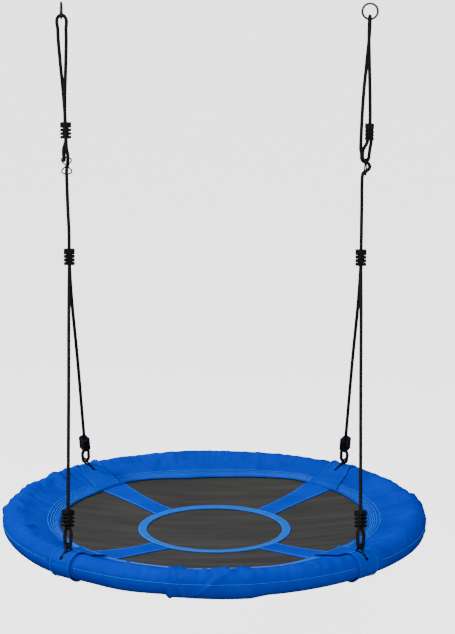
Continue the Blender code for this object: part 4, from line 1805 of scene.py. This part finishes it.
    def band_seams(self, corner: Corner) -> list[np.ndarray]:
        """Lays out a band's stitching: two rows on each edge, three at its hem, one round the slit.

        Args:
            corner: Which band.

        Returns:
            The lines.
        """
        lines = []
        share = np.linspace(0.01, 0.99, 150)
        lift = self.band_lift + self.edge_lift * 0.4 + self.thread_proud
        for across in (-0.93, -0.84, 0.84, 0.93):
            angle = self.band_edge(corner, share, np.full_like(share, across))
            lines.append(self.rim.at(angle, share, lift))
        across = np.linspace(-0.93, 0.93, 30)
        for at in (0.014, 0.034, 0.054):
            angle = self.band_edge(corner, np.full_like(across, at), across)
            lines.append(self.rim.at(angle, at, self.band_lift + self.thread_proud))
        lines.append(self.slit_outline(corner))
        return lines

    def off_bands(self, line: np.ndarray) -> list[np.ndarray]:
        """Cuts a line round the rim where the bands cover it.

        Args:
            line: Points round the rim.

        Returns:
            The stretches between the bands.
        """
        angle = np.arctan2(line[:, 1], line[:, 0])
        free = np.ones(len(line), bool)
        for slit in self.slit_angles.values():
            free &= np.abs(turn_between(angle, slit)) > self.band_clear
        cuts = np.flatnonzero(np.diff(free.astype(int))) + 1
        return [part for part, keep in zip(np.split(line, cuts), np.split(free, cuts))
                if keep.all() and len(part) > 3]

    def slit_outline(self, corner: Corner) -> np.ndarray:
        """Lays out the line of stitches round a slit.

        Args:
            corner: Which slit.

        Returns:
            A closed line of points.
        """
        half = self.slit_stitch_half_width
        inner, outer = self.slit_stitch_shares
        corners = [(-half, inner), (half, inner), (half, outer), (-half, outer), (-half, inner)]
        sides = [np.linspace(a, b, 16)[:-1] for a, b in zip(corners, corners[1:])]
        across, share = np.concatenate(sides).T
        angle = self.slit_angles[corner] + across / 0.47
        return self.rim.at(angle, share, self.band_lift + self.thread_proud)

    def hoop(self) -> None:
        """Dresses the hoop's tubes, spigots and foam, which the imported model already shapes."""
        for name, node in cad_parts.items():
            if name.startswith(("hoop_tube", "hoop_spigot")):
                node.data.materials[0] = self.finishes.tube
            elif name.startswith("foam_sleeve"):
                node.data.materials[0] = self.finishes.foam


@dataclass
class Studio:
    """The camera, the soft lights and the pale floor."""

    camera_place: tuple[float, float, float] = (0.008, -5.0, 0.395)
    focal_width: float = 125.2  # mm, for a 36 mm long side
    pitch: float = 0.2168
    yaw: float = 0.0042
    roll: float = 0.0035
    floor_drop: float = 1.75
    floor_half: float = 60.0
    floor_glow: float = 2.4
    sky: float = 0.32
    aim: tuple[float, float, float] = (0.0, 0.0, -0.9)
    # each soft light: name, place, size in metres and power in watts
    soft_lights: tuple[tuple[str, tuple[float, float, float], float, float], ...] = (
        ("key", (-2.6, 0.2, 1.3), 0.7, 105.0),
        ("fill", (0.4, -3.4, 0.9), 1.2, 96.0),
        ("top", (0.6, 1.8, 2.6), 1.2, 20.0),
    )

    def build(self) -> None:
        """Sets up the studio."""
        self.camera()
        self.lights()
        self.floor()

    def camera(self) -> None:
        """Stands the camera in front of the swing, a little above the rings, looking down."""
        forward = Vector((math.sin(self.yaw) * math.cos(self.pitch),
                          math.cos(self.yaw) * math.cos(self.pitch), -math.sin(self.pitch)))
        right = forward.cross(Vector((0, 0, 1))).normalized()
        up = right.cross(forward)
        tilt_right = right * math.cos(self.roll) + up * math.sin(self.roll)
        tilt_up = up * math.cos(self.roll) - right * math.sin(self.roll)
        data = bpy.data.cameras.new("studio_camera")
        data.lens, data.sensor_width = self.focal_width, 36.0
        data.clip_end = 200.0
        camera = bpy.data.objects.new("studio_camera", data)
        camera.matrix_world = Matrix((tilt_right, tilt_up, -forward)).transposed().to_4x4()
        camera.location = self.camera_place
        bpy.context.scene.collection.objects.link(camera)
        bpy.context.scene.camera = camera

    def lights(self) -> None:
        """Hangs three large soft lights and an even pale sky."""
        world = bpy.data.worlds.new("studio_sky")
        world.use_nodes = True
        background = world.node_tree.nodes["Background"]
        background.inputs["Color"].default_value = (1.0, 1.0, 1.0, 1.0)
        background.inputs["Strength"].default_value = self.sky
        bpy.context.scene.world = world
        for name, place, size, power in self.soft_lights:
            data = bpy.data.lights.new(name, "AREA")
            data.size, data.energy = size, power
            light = bpy.data.objects.new(name, data)
            aim = Vector(self.aim) - Vector(place)
            light.matrix_world = Matrix.LocRotScale(Vector(place), aim.to_track_quat("-Z", "Y"), None)
            bpy.context.scene.collection.objects.link(light)

    def floor(self) -> None:
        """Lays the pale floor, far below the seat."""
        size = self.floor_half
        corners = np.array([(-size, -size), (size, -size), (size, size), (-size, size)])
        verts = np.column_stack([corners, np.full(4, -self.floor_drop)])
        material = Finish("floor_pale", "f4f4f4", 0.9).material()
        shader = material.node_tree.nodes["Principled BSDF"]
        shader.inputs["Emission Color"].default_value = (1.0, 1.0, 1.0, 1.0)
        shader.inputs["Emission Strength"].default_value = self.floor_glow
        floor = mesh_piece("floor", verts, [(0, 1, 2, 3)], corners, material)
        floor.visible_diffuse = floor.visible_glossy = False


def main() -> None:
    """Builds the swing and its studio, and reports each piece."""
    logging.basicConfig(level=logging.INFO, format="%(name)s: %(message)s")
    Studio().build()
    finishes = Finishes()
    seed_mesh = bpy.data.meshes.new("clamp_seed")
    clamp = RibbedClamp().make("clamp_pattern", seed_mesh, finishes.plastic, bevel=0.45 * MM)
    for name, sign in (("left", -1), ("right", 1)):
        HangingSide(name, sign, finishes=finishes, pattern=clamp).build()
    slits = {}
    for corner in Corner:
        rope = LowerRope(corner, finishes=finishes, pattern=clamp)
        rope.build()
        slits[corner] = rope.slit_angle()
    bpy.data.objects.remove(clamp, do_unlink=True)
    Seat(finishes, Rim(band_angles=tuple(slits.values())), slits).build()


if __name__ == "__main__":
    main()
